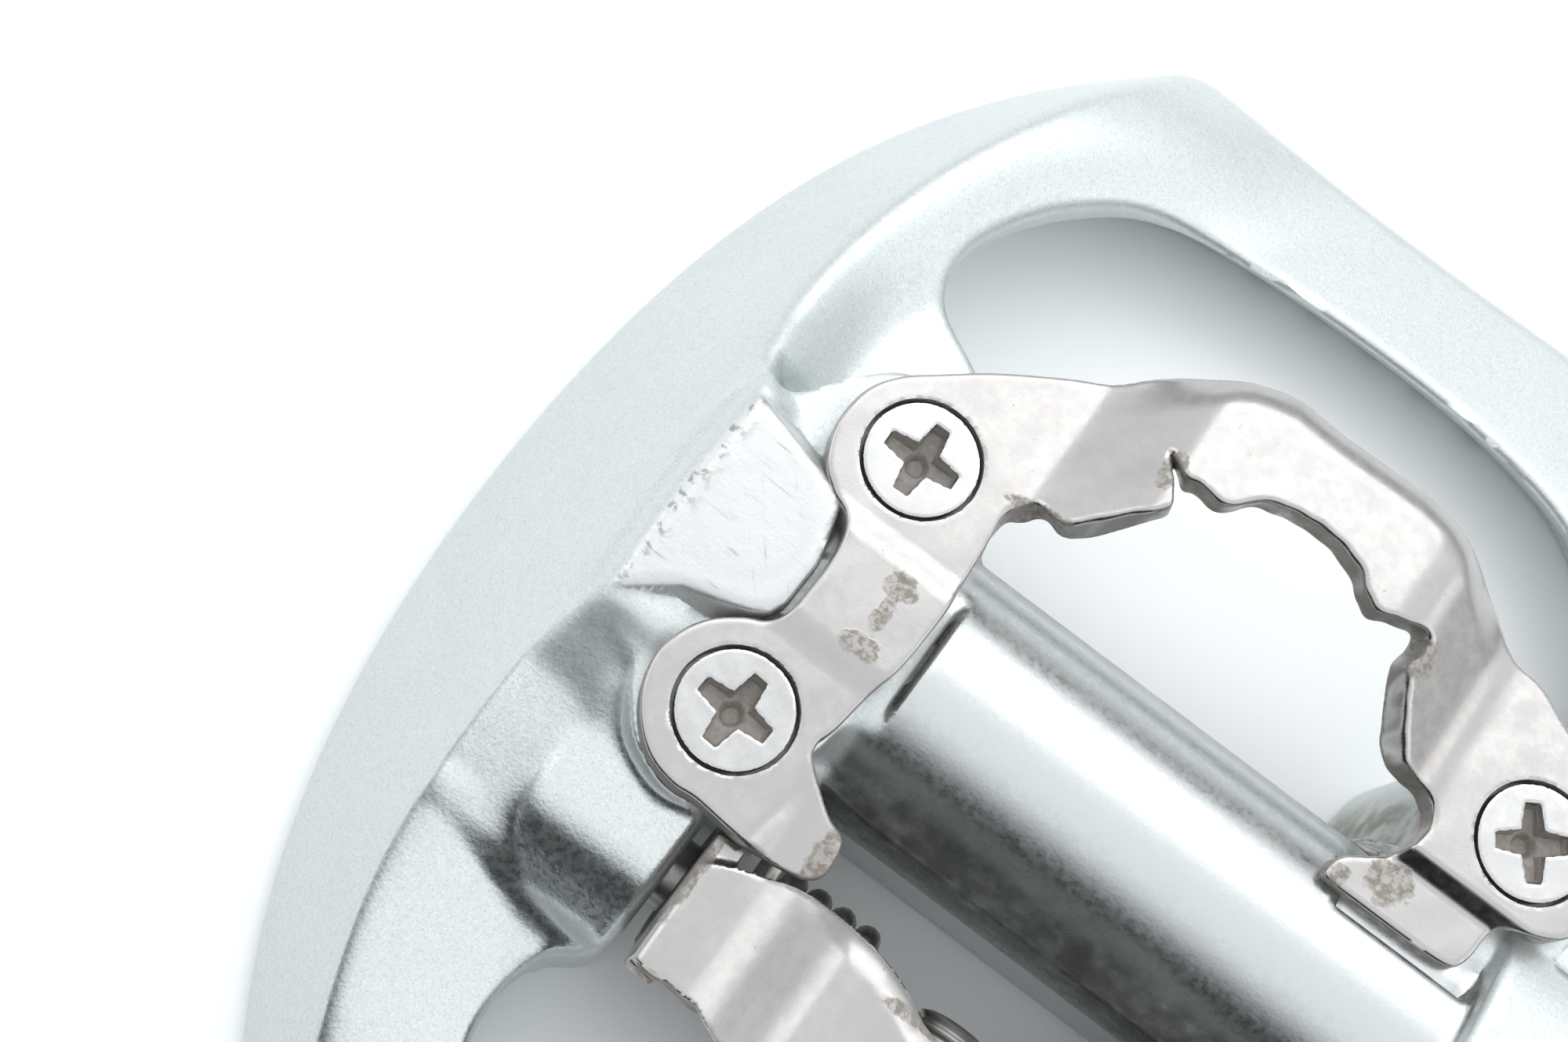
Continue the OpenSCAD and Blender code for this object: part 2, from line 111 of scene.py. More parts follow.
class Plan:
    """Signed distance to a closed outline in a plane, negative inside, kept on a fine grid."""

    def __init__(self, loop, pad=6.0, step=0.2):
        loop = np.array(loop, float)
        self.step = step
        self.low = loop.min(0) - pad
        n = np.ceil((loop.max(0) + pad - self.low) / step).astype(int) + 1
        xs = self.low[0] + step * np.arange(n[0])
        ys = self.low[1] + step * np.arange(n[1])
        X, Y = np.meshgrid(xs, ys, indexing="ij")
        best = np.full(X.shape, 1e9)
        inside = np.zeros(X.shape, bool)
        for a, b in zip(loop, np.roll(loop, -1, axis=0)):
            e = b - a
            length = float(e @ e) or 1e-12
            t = np.clip(((X - a[0]) * e[0] + (Y - a[1]) * e[1]) / length, 0, 1)
            dx, dy = X - a[0] - t * e[0], Y - a[1] - t * e[1]
            best = np.minimum(best, dx * dx + dy * dy)
            cross = (a[1] > Y) != (b[1] > Y)
            with np.errstate(divide="ignore", invalid="ignore"):
                at = a[0] + (Y - a[1]) / (b[1] - a[1]) * e[0]
            inside ^= cross & (X < at)
        self.grid = np.where(inside, -1, 1) * np.sqrt(best)

    def __call__(self, x, y):
        fx = np.clip((x - self.low[0]) / self.step, 0, self.grid.shape[0] - 1.001)
        fy = np.clip((y - self.low[1]) / self.step, 0, self.grid.shape[1] - 1.001)
        i, j = fx.astype(int), fy.astype(int)
        s, t = fx - i, fy - j
        g = self.grid
        return ((g[i, j] * (1 - s) + g[i + 1, j] * s) * (1 - t)
                + (g[i, j + 1] * (1 - s) + g[i + 1, j + 1] * s) * t)


def gradient(field, p, h=0.12):
    g = np.empty_like(p)
    for k in range(3):
        e = np.zeros(3)
        e[k] = h
        g[:, k] = field(p + e) - field(p - e)
    return g / np.maximum(np.linalg.norm(g, axis=1, keepdims=True), 1e-9)


def contour(field, low, high, step):
    """Mesh of the surface where a field is zero, with its creases kept."""
    low = np.array(low, float)
    n = np.ceil((np.array(high, float) - low) / step).astype(int) + 1
    ax = [low[k] + step * np.arange(n[k]) for k in range(3)]
    grid = np.empty(n)
    for i in range(0, n[0], 12):
        P = np.stack(np.meshgrid(ax[0][i:i + 12], ax[1], ax[2], indexing="ij"), -1)
        grid[i:i + 12] = field(P.reshape(-1, 3)).reshape(P.shape[:3])
    inside = grid < 0
    points, normals, cells, flips = [], [], [], []
    for k in range(3):
        lo = [slice(None)] * 3
        hi = [slice(None)] * 3
        lo[k], hi[k] = slice(0, -1), slice(1, None)
        idx = np.argwhere(inside[tuple(lo)] != inside[tuple(hi)])
        o = [m for m in range(3) if m != k]
        ok = np.all((idx[:, o] > 0) & (idx[:, o] < n[o] - 1), axis=1)
        idx = idx[ok]
        if not len(idx):
            continue
        up = idx.copy()
        up[:, k] += 1
        fa, fb = grid[tuple(idx.T)], grid[tuple(up.T)]
        t = fa / (fa - fb)
        a = low + step * idx
        p = a.copy()
        p[:, k] += step * t
        ta, tb = np.zeros(len(t)), np.ones(len(t))
        for _ in range(2):
            fp = field(p)
            same = (fp < 0) == (fa < 0)
            ta, fa = np.where(same, t, ta), np.where(same, fp, fa)
            tb, fb = np.where(same, tb, t), np.where(same, fb, fp)
            t = ta + (tb - ta) * np.clip(fa / np.where(fa == fb, 1.0, fa - fb), 0, 1)
            p[:, k] = a[:, k] + step * t
        points.append(p)
        normals.append(gradient(field, p))
        quad = []
        for s, r in ((0, 0), (1, 0), (1, 1), (0, 1)):
            c = idx.copy()
            c[:, o[0]] -= s
            c[:, o[1]] -= r
            quad.append((c[:, 0] * n[1] + c[:, 1]) * n[2] + c[:, 2])
        cells.append(np.stack(quad, 1))
        outward = inside[tuple(idx.T)]
        flips.append(outward if k != 1 else ~outward)
    p = np.concatenate(points)
    nrm = np.concatenate(normals)
    quads = np.concatenate(cells)
    flip = np.concatenate(flips)
    ids, where = np.unique(quads, return_inverse=True)
    where = where.reshape(quads.shape)
    m = len(ids)
    count = np.zeros(m)
    mean = np.zeros((m, 3))
    for c in range(4):
        count += np.bincount(where[:, c], minlength=m)
        for k in range(3):
            mean[:, k] += np.bincount(where[:, c], weights=p[:, k], minlength=m)
    mean /= count[:, None]
    A = np.zeros((m, 3, 3))
    B = np.zeros((m, 3))
    for c in range(4):
        w = where[:, c]
        d = np.einsum("ij,ij->i", nrm, p - mean[w])
        for i in range(3):
            B[:, i] += np.bincount(w, weights=nrm[:, i] * d, minlength=m)
            for j in range(3):
                A[:, i, j] += np.bincount(w, weights=nrm[:, i] * nrm[:, j], minlength=m)
    A += np.eye(3) * 0.08 * (count[:, None, None] / 4)
    x = np.linalg.solve(A, B[..., None])[..., 0]
    verts = mean + np.clip(x, -0.75 * step, 0.75 * step)
    quads = np.where(flip[:, None], where, where[:, ::-1])
    return verts, quads


def to_object(name, verts, faces, angle=38.0):
    """A mesh object in the row frame from points in millimetres around the cleat."""
    mesh = bpy.data.meshes.new(name)
    v = (np.asarray(verts, float) + [CLEAT_X, 0, 0]) / 1000
    if isinstance(faces, np.ndarray):
        mesh.vertices.add(len(v))
        mesh.vertices.foreach_set("co", v.ravel())
        size = faces.shape[1]
        mesh.loops.add(faces.size)
        mesh.loops.foreach_set("vertex_index", faces.ravel().astype(np.int32))
        mesh.polygons.add(len(faces))
        mesh.polygons.foreach_set("loop_start", np.arange(0, faces.size, size, dtype=np.int32))
        mesh.update(calc_edges=True)
    else:
        mesh.from_pydata([tuple(q) for q in v], [], faces)
        mesh.update()
    mesh.validate()
    mesh.shade_smooth()
    mesh.set_sharp_from_angle(angle=math.radians(angle))
    obj = bpy.data.objects.new(name, mesh)
    bpy.context.scene.collection.objects.link(obj)
    return obj


# ---------------------------------------------------------------- casting

def rim_line(y):
    """Place of the rim's outer edge along the pedal, at the foot of its slope."""
    return -45.85 + 5.485 * (y / 36.36) ** 2 + 1.753 * (y / 36.36) ** 4


# Height of the rim's crest along the pedal, and of the frame's top at the windows
ridge_top = smooth_table([-60, -54.6, -50, -45, -39, -35, -30.5, -26.4, -22.4, -18.6, -14.1, -11, -9.3,
                          -8.6, 8.2, 9.7, 14.8, 21.4, 29, 35.2, 41.7, 48.7, 52, 54.6, 60],
                         [-10, -7, -4.4, -1.8, 0.4, 1.1, 2, 3, 4.3, 5.6, 6.9, 8.7, 9.9,
                          10.3, 10.3, 8, 5.8, 4.2, 3.3, 2.8, 1.3, -1.8, -4, -6.8, -10], 0.5)
ridge_soft = smooth_table([-60, -54.6, -50, -45, -39, -35, -30.5, -26.4, -22.4, -18.6, -14.1, 14.8, 21.4,
                           29, 35.2, 41.7, 48.7, 54.6, 60],
                          [-10, -7, -4.4, -1.8, 0.4, 1.1, 2, 3, 4.3, 5.6, 6.9, 5.8, 4.2, 3.3, 2.8,
                           1.2, -2.1, -6.8, -11], 2.2)
ridge_run = smooth_table([-60, -29, -26, -12, -9, 9, 60], [2.6, 2.8, 3.4, 3.4, 3.2, 0.75, 0.75], 0.8)
arm_top = smooth_table([0, 10, 14, 20, 27, 36, 42.5, 53.4, 60],
                       [3.4, 3.0, 2.2, 1.2, 0.3, -1.7, -3.3, -7.0, -9.4], 1.2)
arm_reach = smooth_table([8, 20, 25, 32, 38, 45, 60], [6.2, 6.6, 8.5, 11, 14, 18, 18], 1.5)
lug_back = smooth_table([8, 10, 12, 14.5, 17, 20, 21.4, 23, 24.4, 26, 40],
                        [8.1, 7.9, 7.3, 6.7, 6.3, 5.8, 5.3, 4.0, 2.6, 1.0, -1.0], 0.5)

front_window = Plan(curve_loop([(-15.4, 9.6), (-15.9, 11.6), (-18.4, 16.6), (-22.5, 20.6),
    (-27.4, 23.6), (-28.5, 27), (-27.3, 31), (-24.4, 35.6), (-20.2, 39.6), (-14.6, 41.6), (-5, 42.6),
    (5, 42.6), (12.6, 41.6), (18.2, 39.6), (22.4, 35.6), (25.3, 31), (26.4, 26.6), (25, 22.6),
    (20.4, 20.2), (17.6, 17.4), (16.4, 13.4), (16.0, 9.6), (14.6, 9.2), (-14, 9.2)]))
rear_window = Plan(curve_loop([(-19.9, -24.2), (-20.8, -25.6), (-22.7, -27.2), (-23.7, -30.6),
    (-23.3, -34.4), (-20.9, -38.6), (-15.6, -41.4), (-5, -42.6), (5, -42.6), (15.6, -41.4),
    (20.9, -38.6), (23.3, -34.4), (23.7, -30.6), (22.7, -27.2), (20.8, -25.6), (19.9, -24.2),
    (19.6, -20), (-19.6, -20)]))
pad_plan = Plan([(-60, 7.4), (-33.6, 7.3), (-29.2, 6.1), (-25.6, 5.0), (-24.9, 4.4), (-24.6, 3.4),
    (-23.8, 0.6), (-23.9, -2.6), (-24.5, -3.9), (-25.4, -4.5), (-29.8, -5.8), (-33.5, -8.8),
    (-60, -8.8)])
# Flat of the lugs that carries the binding plate
seat_plan = Plan(curve_loop([(-33.9, 7.6), (-32.8, 8.8), (-31.2, 9.8), (-29.4, 12.4), (-26.8, 14.9),
    (-22.6, 16.2), (-18.6, 14.8), (-17.2, 12), (-16.8, 9.4), (-16.7, 4), (-16.7, -6), (-17.4, -9.6),
    (-18.8, -13.9), (-22.6, -15.9), (-26.3, -14.8), (-28.3, -12.5), (-29.3, -10.8), (-31, -9.7),
    (-33.8, -8.7), (-35, -6), (-35, 4)], 6))
lug_plan = Plan([(-31.6, -11.2), (-29.4, -24.2), (-29.2, -26), (-19.9, -26), (-19.9, -6), (-31, -8)])
crank_lug_plan = Plan([(30.4, -8), (29.2, -24.2), (29, -26), (19.9, -26), (19.9, -6), (30, -6)])
crank_seat_plan = Plan(curve_loop([(16.9, 10), (17.4, 17), (20, 19.5), (23.4, 20), (27, 18.4),
    (28.6, 14.6), (28.2, 9), (24, 6), (17, 6)], 6))
outer_pocket = Plan(curve_loop([(-40.6, 4), (-40.4, 14), (-38.6, 25), (-34.8, 35), (-32.0, 39),
    (-30.4, 38), (-31.2, 30), (-31.6, 22), (-30, 17), (-30.2, 10), (-34, 6.4), (-38, 3.4)], 6))
crank_pocket = Plan(curve_loop([(30.4, 12.8), (33.4, 14.4), (33.4, 25.4), (29.6, 35), (28.2, 33.4),
    (29.2, 26), (28.8, 20), (29, 15.6)], 6))


def casting(p):
    u, y, z = p[:, 0], p[:, 1], p[:, 2]
    ay = np.abs(y)
    r = np.hypot(y, z)
    rim = (rim_line(ay) + RIM_SLOPE * (smax(z, -10.0, 1.2) + RIM_FOOT) - u) * 0.83
    bottom = FLAT_Z - z
    ends = ay - (HALF_LENGTH - 0.16 * np.maximum(z + 8.5, 0) - 0.5 * np.exp(-((u + 2) / 16) ** 2))
    crank = ((u - 24) * 30 + (ay - 55) * 13) / 32.7
    crank = smax(crank, u - 37.0, 3.0)
    sides = smax(smax(rim, ends, 1.6), crank, 2.5)
    sides = smax(sides, bottom, 1.6)
    # low frame with its windows, its top climbing to the rim's crest
    far = smooth_step(ay, 15, 20)
    crest = ridge_top(y) * (1 - far) + ridge_soft(y) * far
    crest_u = rim_line(ay) + RIM_SLOPE * (crest + RIM_FOOT)
    lip = arm_top(ay)
    climb = 0.5 + 0.5 * np.cos(math.pi * np.clip((u - crest_u) / arm_reach(ay), 0, 1))
    share = np.where(y > 0, smooth_step(y, 8.8, 11.8), smooth_step(-y, 19, 23))
    share = np.maximum(share, (1 - smooth_step(u - crest_u, 0.6, 3.2)) * smooth_step(y, 7.5, 9))
    rise = smax(crest - lip - 0.1, 0.0, 1.0) * climb * share
    low = (z - lip - rise) * 0.88
    # rim crest, its inner wall sloping down into the arms
    wall = (u - crest_u - 0.7 - ridge_run(y) * (crest - z)) * 0.62
    ridge = smax((z - crest) * 0.9, wall, 1.4)
    ridge = ridge + 4 * smooth_step(y, 8.6, 11.5) + 4 * smooth_step(-y, 23.5, 29)
    inner = smin(low, ridge, 0.8)
    # windows, the front one wider below its lip
    wider = 0.6 * np.clip(lip - 0.7 - z, 0, 6) * smooth_step(y, 24, 34)
    inner = smax(inner, wider - front_window(u, y), 0.9)
    inner = smax(inner, -rear_window(u, y), 0.9)
    body = smax(sides, inner, 1.0)
    # lugs for the claw's pin, with the trough between them and the rim
    tilt = 0.17 * (np.abs(u) - 24.5) * smooth_step(-y, 12, 16)
    back = (z - lug_back(-y) + tilt) * 0.7
    lug = smax(np.maximum(lug_plan(u, y) - 0.35 * np.clip(lug_back(-y) - z, 0, 4), bottom), back, 1.6)
    window = np.maximum(bottom, -np.maximum(rear_window(u, y), y + 24.3))
    lug = np.maximum(lug, window)
    body = smin(body, smax(lug, y + 5, 1.0), 1.1)
    lug = smax(np.maximum(crank_lug_plan(u, y), window), back, 0.9)
    body = smin(body, lug, 0.9)
    # seats of the binding plate
    seat = smax(np.maximum(seat_plan(u, y), rim), z - SEAT_TOP, 0.5)
    body = smin(body, np.maximum(seat, bottom), 1.2)
    seat = smax(crank_seat_plan(u, y), z - SEAT_TOP, 0.5)
    body = smin(body, np.maximum(seat, bottom), 1.2)
    # open between the barrel and the claw
    slot = np.minimum(np.maximum(np.abs(u) - 19.9, np.abs(y + 20) - 7.2),
                      np.maximum(np.abs(u) - 15.6, np.abs(y + 18) - 9.2))
    body = smax(body, -slot, 0.6)
    # barrel and housing
    barrel = smax(smax(r - BARREL_R, u - 27, 1.0), -33.5 - u, 1.0)
    body = smin(body, barrel, 1.2)
    block = np.abs(np.stack([y, z])).max(0) * 0.55 + r * 0.45 - 11.0
    housing = smax(smax(block, r - 12.6, 2.5), np.abs(u - 31.1) - 6.0, 0.9)
    body = smin(body, np.maximum(housing, bottom), 0.8)
    # bridge to the flat side under the barrel
    under = smax(smax(ay - 6.2, z + 7, 1.0), np.maximum(np.abs(u - 1.5) - 35.3, bottom), 1.2)
    body = smin(body, under, 1.5)
    # flats on top of the barrel
    flat = smax(np.maximum(14.6 - u, u - 24.6), np.maximum(3.4 - y, SEAT_TOP - z), 0.3)
    body = smax(body, -flat, 0.35)
    flat = smax(np.maximum(-24.4 - u, u + 14.9), SEAT_TOP - z, 0.5)
    body = smax(body, -flat, 0.7)
    # pad beside the plate
    flank = 0.5 * (PAD_TOP - z) * smooth_step(-u, 24.8, 27.5)
    pad = smax((pad_plan(u, y) - flank) * 0.9, z - PAD_TOP, 0.5)
    body = np.minimum(body, np.maximum(smax(pad, rim, 0.8), 4.5 - z))
    # bores and holes
    body = np.maximum(body, -np.maximum(r - 7.22, -31.5 - u))
    body = np.maximum(body, -np.maximum(r - 8.62, 23.9 - u))
    body = np.maximum(body, -np.maximum(r - 9.57, 25.9 - u))
    for su, sy, _ in SCREWS:
        body = np.maximum(body, -np.maximum(np.hypot(u - su, y - sy) - SCREW_BORE, -1.0 - z))
    pin = np.hypot(y - PIVOT[1], z - PIVOT[2])
    body = np.maximum(body, -np.maximum(pin - PIN_BORE, np.abs(u) - 25.5))
    # cored pockets in the flat side
    for sign in (1, -1):
        for plan in (outer_pocket, crank_pocket):
            body = smax(body, -smax(plan(u, sign * y), z + 4.2, 0.8), 0.5)
    return np.maximum(np.maximum(body, bottom + 0.04), np.maximum(ay - HALF_LENGTH, -45.8 - u))


def grooves(p, body):
    """Cross grooves in the flat side of the two bars."""
    u, y, z = p[:, 0], p[:, 1], p[:, 2]
    cell = np.abs((u + 2.5) % 5 - 2.5) - 0.75
    row = np.maximum(cell, np.abs(np.abs(y) - 48.8) - 3.0)
    row = np.maximum(np.maximum(row, np.abs(u) - 21), z + 10.7)
    return smax(body, -row, 0.35)


verts, quads = contour(lambda p: grooves(p, casting(p)), (-47.5, -56.5, -12.5), (39, 56.5, 12.5), 0.45)
verts[:, 2] = np.maximum(verts[:, 2], FLAT_Z)
casting_obj = to_object("casting", verts, quads, 55)
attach(casting_obj, "pedal")
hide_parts("pedal_body")

# ---------------------------------------------------------------- binding plate

def waviness(p, size, seed):
    """A slow pseudo-random field between about -1 and 1."""
    turn = np.random.default_rng(seed).normal(size=(6, 3)) / size
    return sum(np.sin(p @ t + i) for i, t in enumerate(turn)) / 3


arch_rise = smooth_table([-17.3, -15.6, -9.4, -7.2, 6.4, 8.8, 14.4, 15.9],
                         [0, 0.2, 3.8, 4.2, 4.2, 3.8, 0.3, 0], 0.5)
arch_front = [(-20.9, 18.6), (-17.9, 20.6), (-15.5, 22), (-13.8, 23.6), (-11.9, 25.1), (-8.7, 26.8),
              (-5.4, 27.7), (-2, 27.5), (1.6, 27.6), (4.6, 27.7), (7.4, 27.3), (10.6, 26.2),
              (13.4, 24.6), (15.4, 23.3), (18, 22.9), (20.6, 21.7)]
arch_edge = Plan(arch_front + [(45, 12), (45, -30), (-45, -30), (-45, 4)], 1.0)
inner_edge = [(16.4, 9.6), (16.5, 11), (15.6, 12.3), (13.4, 12.5), (12.4, 13), (11.2, 14.5),
              (9.9, 16.2), (9.2, 17.3), (9.7, 18.6), (9.2, 19.5), (7.4, 19.1), (5.6, 18.5), (4.5, 19),
              (3.5, 19.9), (1.9, 20.6), (0, 20.8), (-2.3, 20.5), (-4.2, 19.8), (-5.4, 18.4),
              (-6.6, 18), (-8, 18.2), (-8.9, 18.1), (-10.4, 19.1), (-9.3, 17.4), (-8.6, 16.2),
              (-9.2, 15.2), (-10.9, 13.7), (-12.5, 12.1), (-13.6, 11.6), (-15.2, 12), (-15.9, 11.3),
              (-16.4, 10.2)]
bridge_edge = [(-16.1, 7.4), (-15.9, 4.6), (-15.8, 2), (-16, -1.6), (-16.6, -4.4), (-17, -7.2),
               (-17.4, -8.6), (-17, -9.6), (-15.2, -10.9), (-14, -11.6), (-12.6, -12.1),
               (-12.2, -13.4), (-12.3, -14.7), (-13.2, -15.5), (-14.8, -15.9), (-17, -16.1),
               (-19, -16), (-21.4, -15.8)]
second_boss = [(-23, -15.9), (-25, -15.4), (-26.7, -14.1), (-27.9, -12.4), (-28.5, -10.2),
               (-28.2, -8.2), (-27.2, -6.4), (-25.6, -5), (-24.3, -4.3), (-23.6, -3.2), (-23.4, -1),
               (-23.4, 1), (-23.7, 2.9), (-24.4, 4.2), (-25.9, 4.9), (-27.2, 6), (-28.1, 8),
               (-28.3, 10), (-27.9, 12), (-26.7, 13.8), (-24.8, 15.5), (-22.8, 17.2)]
tongue_edge = [(23, 20.7), (26, 18.6), (28, 15.7), (28.4, 12.8), (27.5, 10.2), (25.7, 9), (24.1, 8.3),
               (23.5, 7.6), (23.3, 5.9), (22.8, 4.7), (21.7, 4.3), (19, 4.2), (16, 4.2), (13.7, 4.2),
               (12.9, 4.4), (12.8, 5.2), (13.3, 6.2), (14.8, 7.3), (15.9, 8.2)]
plate_plan = Plan(curve_loop(arch_front + tongue_edge + inner_edge + bridge_edge + second_boss, 5), 3.0, 0.1)


def plate_height(u, y):
    """Top of the pressed plate."""
    arch = arch_rise(u) * smooth_step(y, 7.5, 10.5)
    inside = np.clip(1 + arch_edge(u, y) / 2.8, 0, 1)
    flank = 1.5 * inside ** 2 * smooth_step(15.5 - np.abs(u), 0, 5)
    bridge = 0.42 * (smooth_step(y, -4.8, -2.6) - smooth_step(y, 3.2, 5.2)) * (u < 0)
    tongue = 1.05 * (1 - smooth_step(y, 7.8, 9.2)) * smooth_step(u, 10, 11)
    tail = 0.3 * smooth_step(-y, 9, 10.5) * np.logaddexp(0, (u + 17.0) * 4) / 4
    tail = tail + 0.13 * np.maximum(-y - 10.5, 0) * smooth_step(u, -18, -15.6)
    return PLATE_TOP + arch - flank + bridge - tongue - tail


def sheet(height, plan, p, thick, round_edge=0.35, ragged=0.0):
    """A bent sheet under a height, cut to an outline that follows the bend."""
    u, y, z = p[:, 0], p[:, 1], p[:, 2]
    h = height(u, y)
    du = (height(u + 0.2, y) - height(u - 0.2, y)) / 0.4
    dy = (height(u, y + 0.2) - height(u, y - 0.2)) / 0.4
    norm = np.sqrt(1 + du * du + dy * dy)
    depth = np.clip((h - z) / norm, -2, thick + 2)
    edge = plan(u - du / norm * depth, y - dy / norm * depth)
    face = np.maximum(z - h, h - z - thick * norm) / norm
    return smax(face, edge + ragged, round_edge)


def binding_plate(p):
    u, y, z = p[:, 0], p[:, 1], p[:, 2]
    worn = 0.07 * smooth_step(y, 8, 12) * smooth_step(23 - y, 0, 2) * (np.abs(u) < 16)
    f = sheet(plate_height, plate_plan, p, PLATE_T, 0.35, worn * waviness(p, 0.9, 3))
    f = f + 0.015 * waviness(p, 1.6, 4)
    for su, sy, _ in SCREWS:
        d = np.hypot(u - su, y - sy)
        f = smax(f, 3.98 - d + 0.9 * np.maximum(9.3 - z, 0), 0.12)
    return f


verts, quads = contour(binding_plate, (-29.6, -17.6, 5.2), (29.6, 29.2, 15.4), 0.19)
verts[:, 2] = np.minimum(verts[:, 2], ARCH_TOP)
plate_obj = to_object("pressed_plate", verts, quads, 50)
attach(plate_obj, "pedal")
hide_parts("binding_plate")

# ---------------------------------------------------------------- screws


def screw_head(p):
    """Countersunk head with a cross recess, its top at z = 0."""
    x, y, z = p[:, 0], p[:, 1], p[:, 2]
    r = np.hypot(x, y)
    f = smax(r - 3.74, z, 0.12)
    f = np.maximum(f, (r - 0.95 * z - 4.5) * 0.72)
    f = smin(f, np.maximum(r - 2.5, z + 1.2), 0.1)
    f = np.maximum(f, -2.6 - z)
    ax, ay = np.abs(x), np.abs(y)
    long, short = np.maximum(ax, ay), np.minimum(ax, ay)
    depth = -z
    wing = smax(short - 0.50 - 0.17 * (2.6 - long) + 0.10 * depth, long - 2.55 + 0.3 * depth, 0.12)
    wing = np.maximum(wing, depth - 0.85 - 0.35 * (2.6 - long))
    cone = np.maximum(r - 1.15 + 0.45 * (depth - 0.8), depth - 2.2)
    cut = smin(wing, np.maximum(cone, 0.7 - depth), 0.15)
    return smax(f, -cut, 0.14)


head_verts, head_quads = contour(screw_head, (-4.1, -4.1, -2.75), (4.1, 4.1, 0.35), 0.12)
all_verts, all_quads = [], []
for k, (su, sy, turn) in enumerate(SCREWS):
    c, s = math.cos(math.radians(turn)), math.sin(math.radians(turn))
    v = head_verts @ np.array([[c, s, 0], [-s, c, 0], [0, 0, 1]])
    v = v + 0.012 * waviness(v + 9 * k, 0.8, 20 + k)[:, None]
    all_verts.append(v + [su, sy, PLATE_TOP - 0.04])
    all_quads.append(head_quads + k * len(head_verts))


def lathe(rows, count=96):
    """Rings of points from (place, radius) rows; a radius may differ round the ring."""
    angle = np.arange(count) * 2 * math.pi / count
    pts = []
    for at, radius in rows:
        r = radius(angle) if callable(radius) else np.full(count, float(radius))
        pts.append(np.stack([np.full(count, at), r * np.cos(angle), r * np.sin(angle)], 1))
    n = len(rows)
    i = np.arange(n - 1)[:, None] * count
    j = np.arange(count)[None, :]
    k = (j + 1) % count
    faces = np.stack([i + j, i + k, i + count + k, i + count + j], -1).reshape(-1, 4)
    return np.concatenate(pts), faces


shank, shank_quads = lathe([(-2.5, 0.01), (-2.5, 2.48)]
                           + [(-2.6 - 0.1 * i, 2.32 + 0.16 * math.cos(i * math.pi / 4)) for i in range(60)]
                           + [(-8.7, 1.9), (-8.7, 0.01)], 32)
shank = shank[:, [1, 2, 0]]
base = len(head_verts) * 3
for k, (su, sy, _) in enumerate(SCREWS):
    all_verts.append(shank + [su, sy, PLATE_TOP])
    all_quads.append(shank_quads + base + k * len(shank))
screws_obj = to_object("cross_screws", np.concatenate(all_verts), np.concatenate(all_quads), 35)
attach(screws_obj, "pedal")
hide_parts("plate_screws")

# ---------------------------------------------------------------- rear claw

claw_rise = smooth_table([-30, -15.4, -13.4, -9.4, -7.4, 7.4, 9.4, 13.4, 15.4, 30],
                         [9, 9, 9.9, 13.4, 14, 14, 13.4, 9.9, 9, 9], 0.5)
claw_half = [(0, -19.4), (1.4, -19.1), (3, -18.7), (4.5, -17.9), (6.4, -17.2), (8.6, -16.7),
             (11, -16.35), (13.4, -16.3), (15.3, -16.8), (17, -17.4), (18.4, -18.1), (18.9, -19),
             (18.9, -23), (18.9, -25), (18.4, -25.4), (16.3, -25.3), (14.2, -25.5), (12.8, -26.3),
             (11.2, -27.2), (9, -28), (5, -28.3), (0, -28.3)]
claw_plan = Plan(curve_loop(claw_half + [(-u, y) for u, y in claw_half[-2:0:-1]], 5), 3.0, 0.1)
claw_front = Plan([(u, y) for u, y in claw_half[:9]] + [(30, -17), (30, -60), (-30, -60), (-30, -17)]
                  + [(-u, y) for u, y in claw_half[8:0:-1]], 1.0)


def claw_height(u, y):
    inside = np.clip(1 + claw_front(u, y) / 2.0, 0, 1)
    roll = 0.7 * inside ** 2 * smooth_step(13 - np.abs(u), 0, 4)
    back = 0.35 * np.maximum(-26.2 - y, 0) ** 1.6
    return claw_rise(u) - roll - back


def claw(p):
    u, y, z = p[:, 0], p[:, 1], p[:, 2]
    au = np.abs(u)
    burr = 0.12 * np.exp(-((y + 25.4) / 0.8) ** 2) * (au > 11)
    top = sheet(claw_height, claw_plan, p, 2.1, 0.3, burr * waviness(p, 0.6, 8))
    # back wall down to the tension bolt
    line = 1e9
    path = [(-26.6, 12.6), (-28.6, 11.2), (-29.75, 9.0), (-29.9, 1.6)]
    for (ay, az), (by, bz) in zip(path, path[1:]):
        ey, ez = by - ay, bz - az
        t = np.clip(((y - ay) * ey + (z - az) * ez) / (ey * ey + ez * ez), 0, 1)
        line = np.minimum(line, np.hypot(y - ay - t * ey, z - az - t * ez))
    back = smax(line - 1.05, au - 9.1, 0.5)
    # side walls with the eyes for the pin
    eye = np.hypot(y - PIVOT[1], z - PIVOT[2])
    web = np.maximum(z - 8.2, -1 - z)
    web = np.maximum(web, y + 15.7 + 0.06 * z)
    web = np.maximum(web, -(y + 22.9 + 0.33 * (z + 1)))
    cheek = smax(smin(eye - 4.4, web, 1.5), np.abs(au - 17.95) - 1.02, 0.3)
    f = smin(smin(top, back, 0.8), cheek, 0.6)
    f = smax(f, smax(au - 18.97, z - claw_height(u, y), 1.4), 0.2)
    f = np.maximum(f, CLAW_BORE - eye)
    f = np.maximum(f, np.minimum(CLAW_BORE - np.hypot(u, z - 5.5), -26 - y))
    return f + 0.015 * waviness(p, 1.6, 9)


verts, quads = contour(claw, (-19.6, -31.6, -6.0), (19.6, -13.4, 14.6), 0.22)
claw_obj = to_object("claw_pressing", verts, quads, 50)
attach(claw_obj, "claw")
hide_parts("rear_claw")

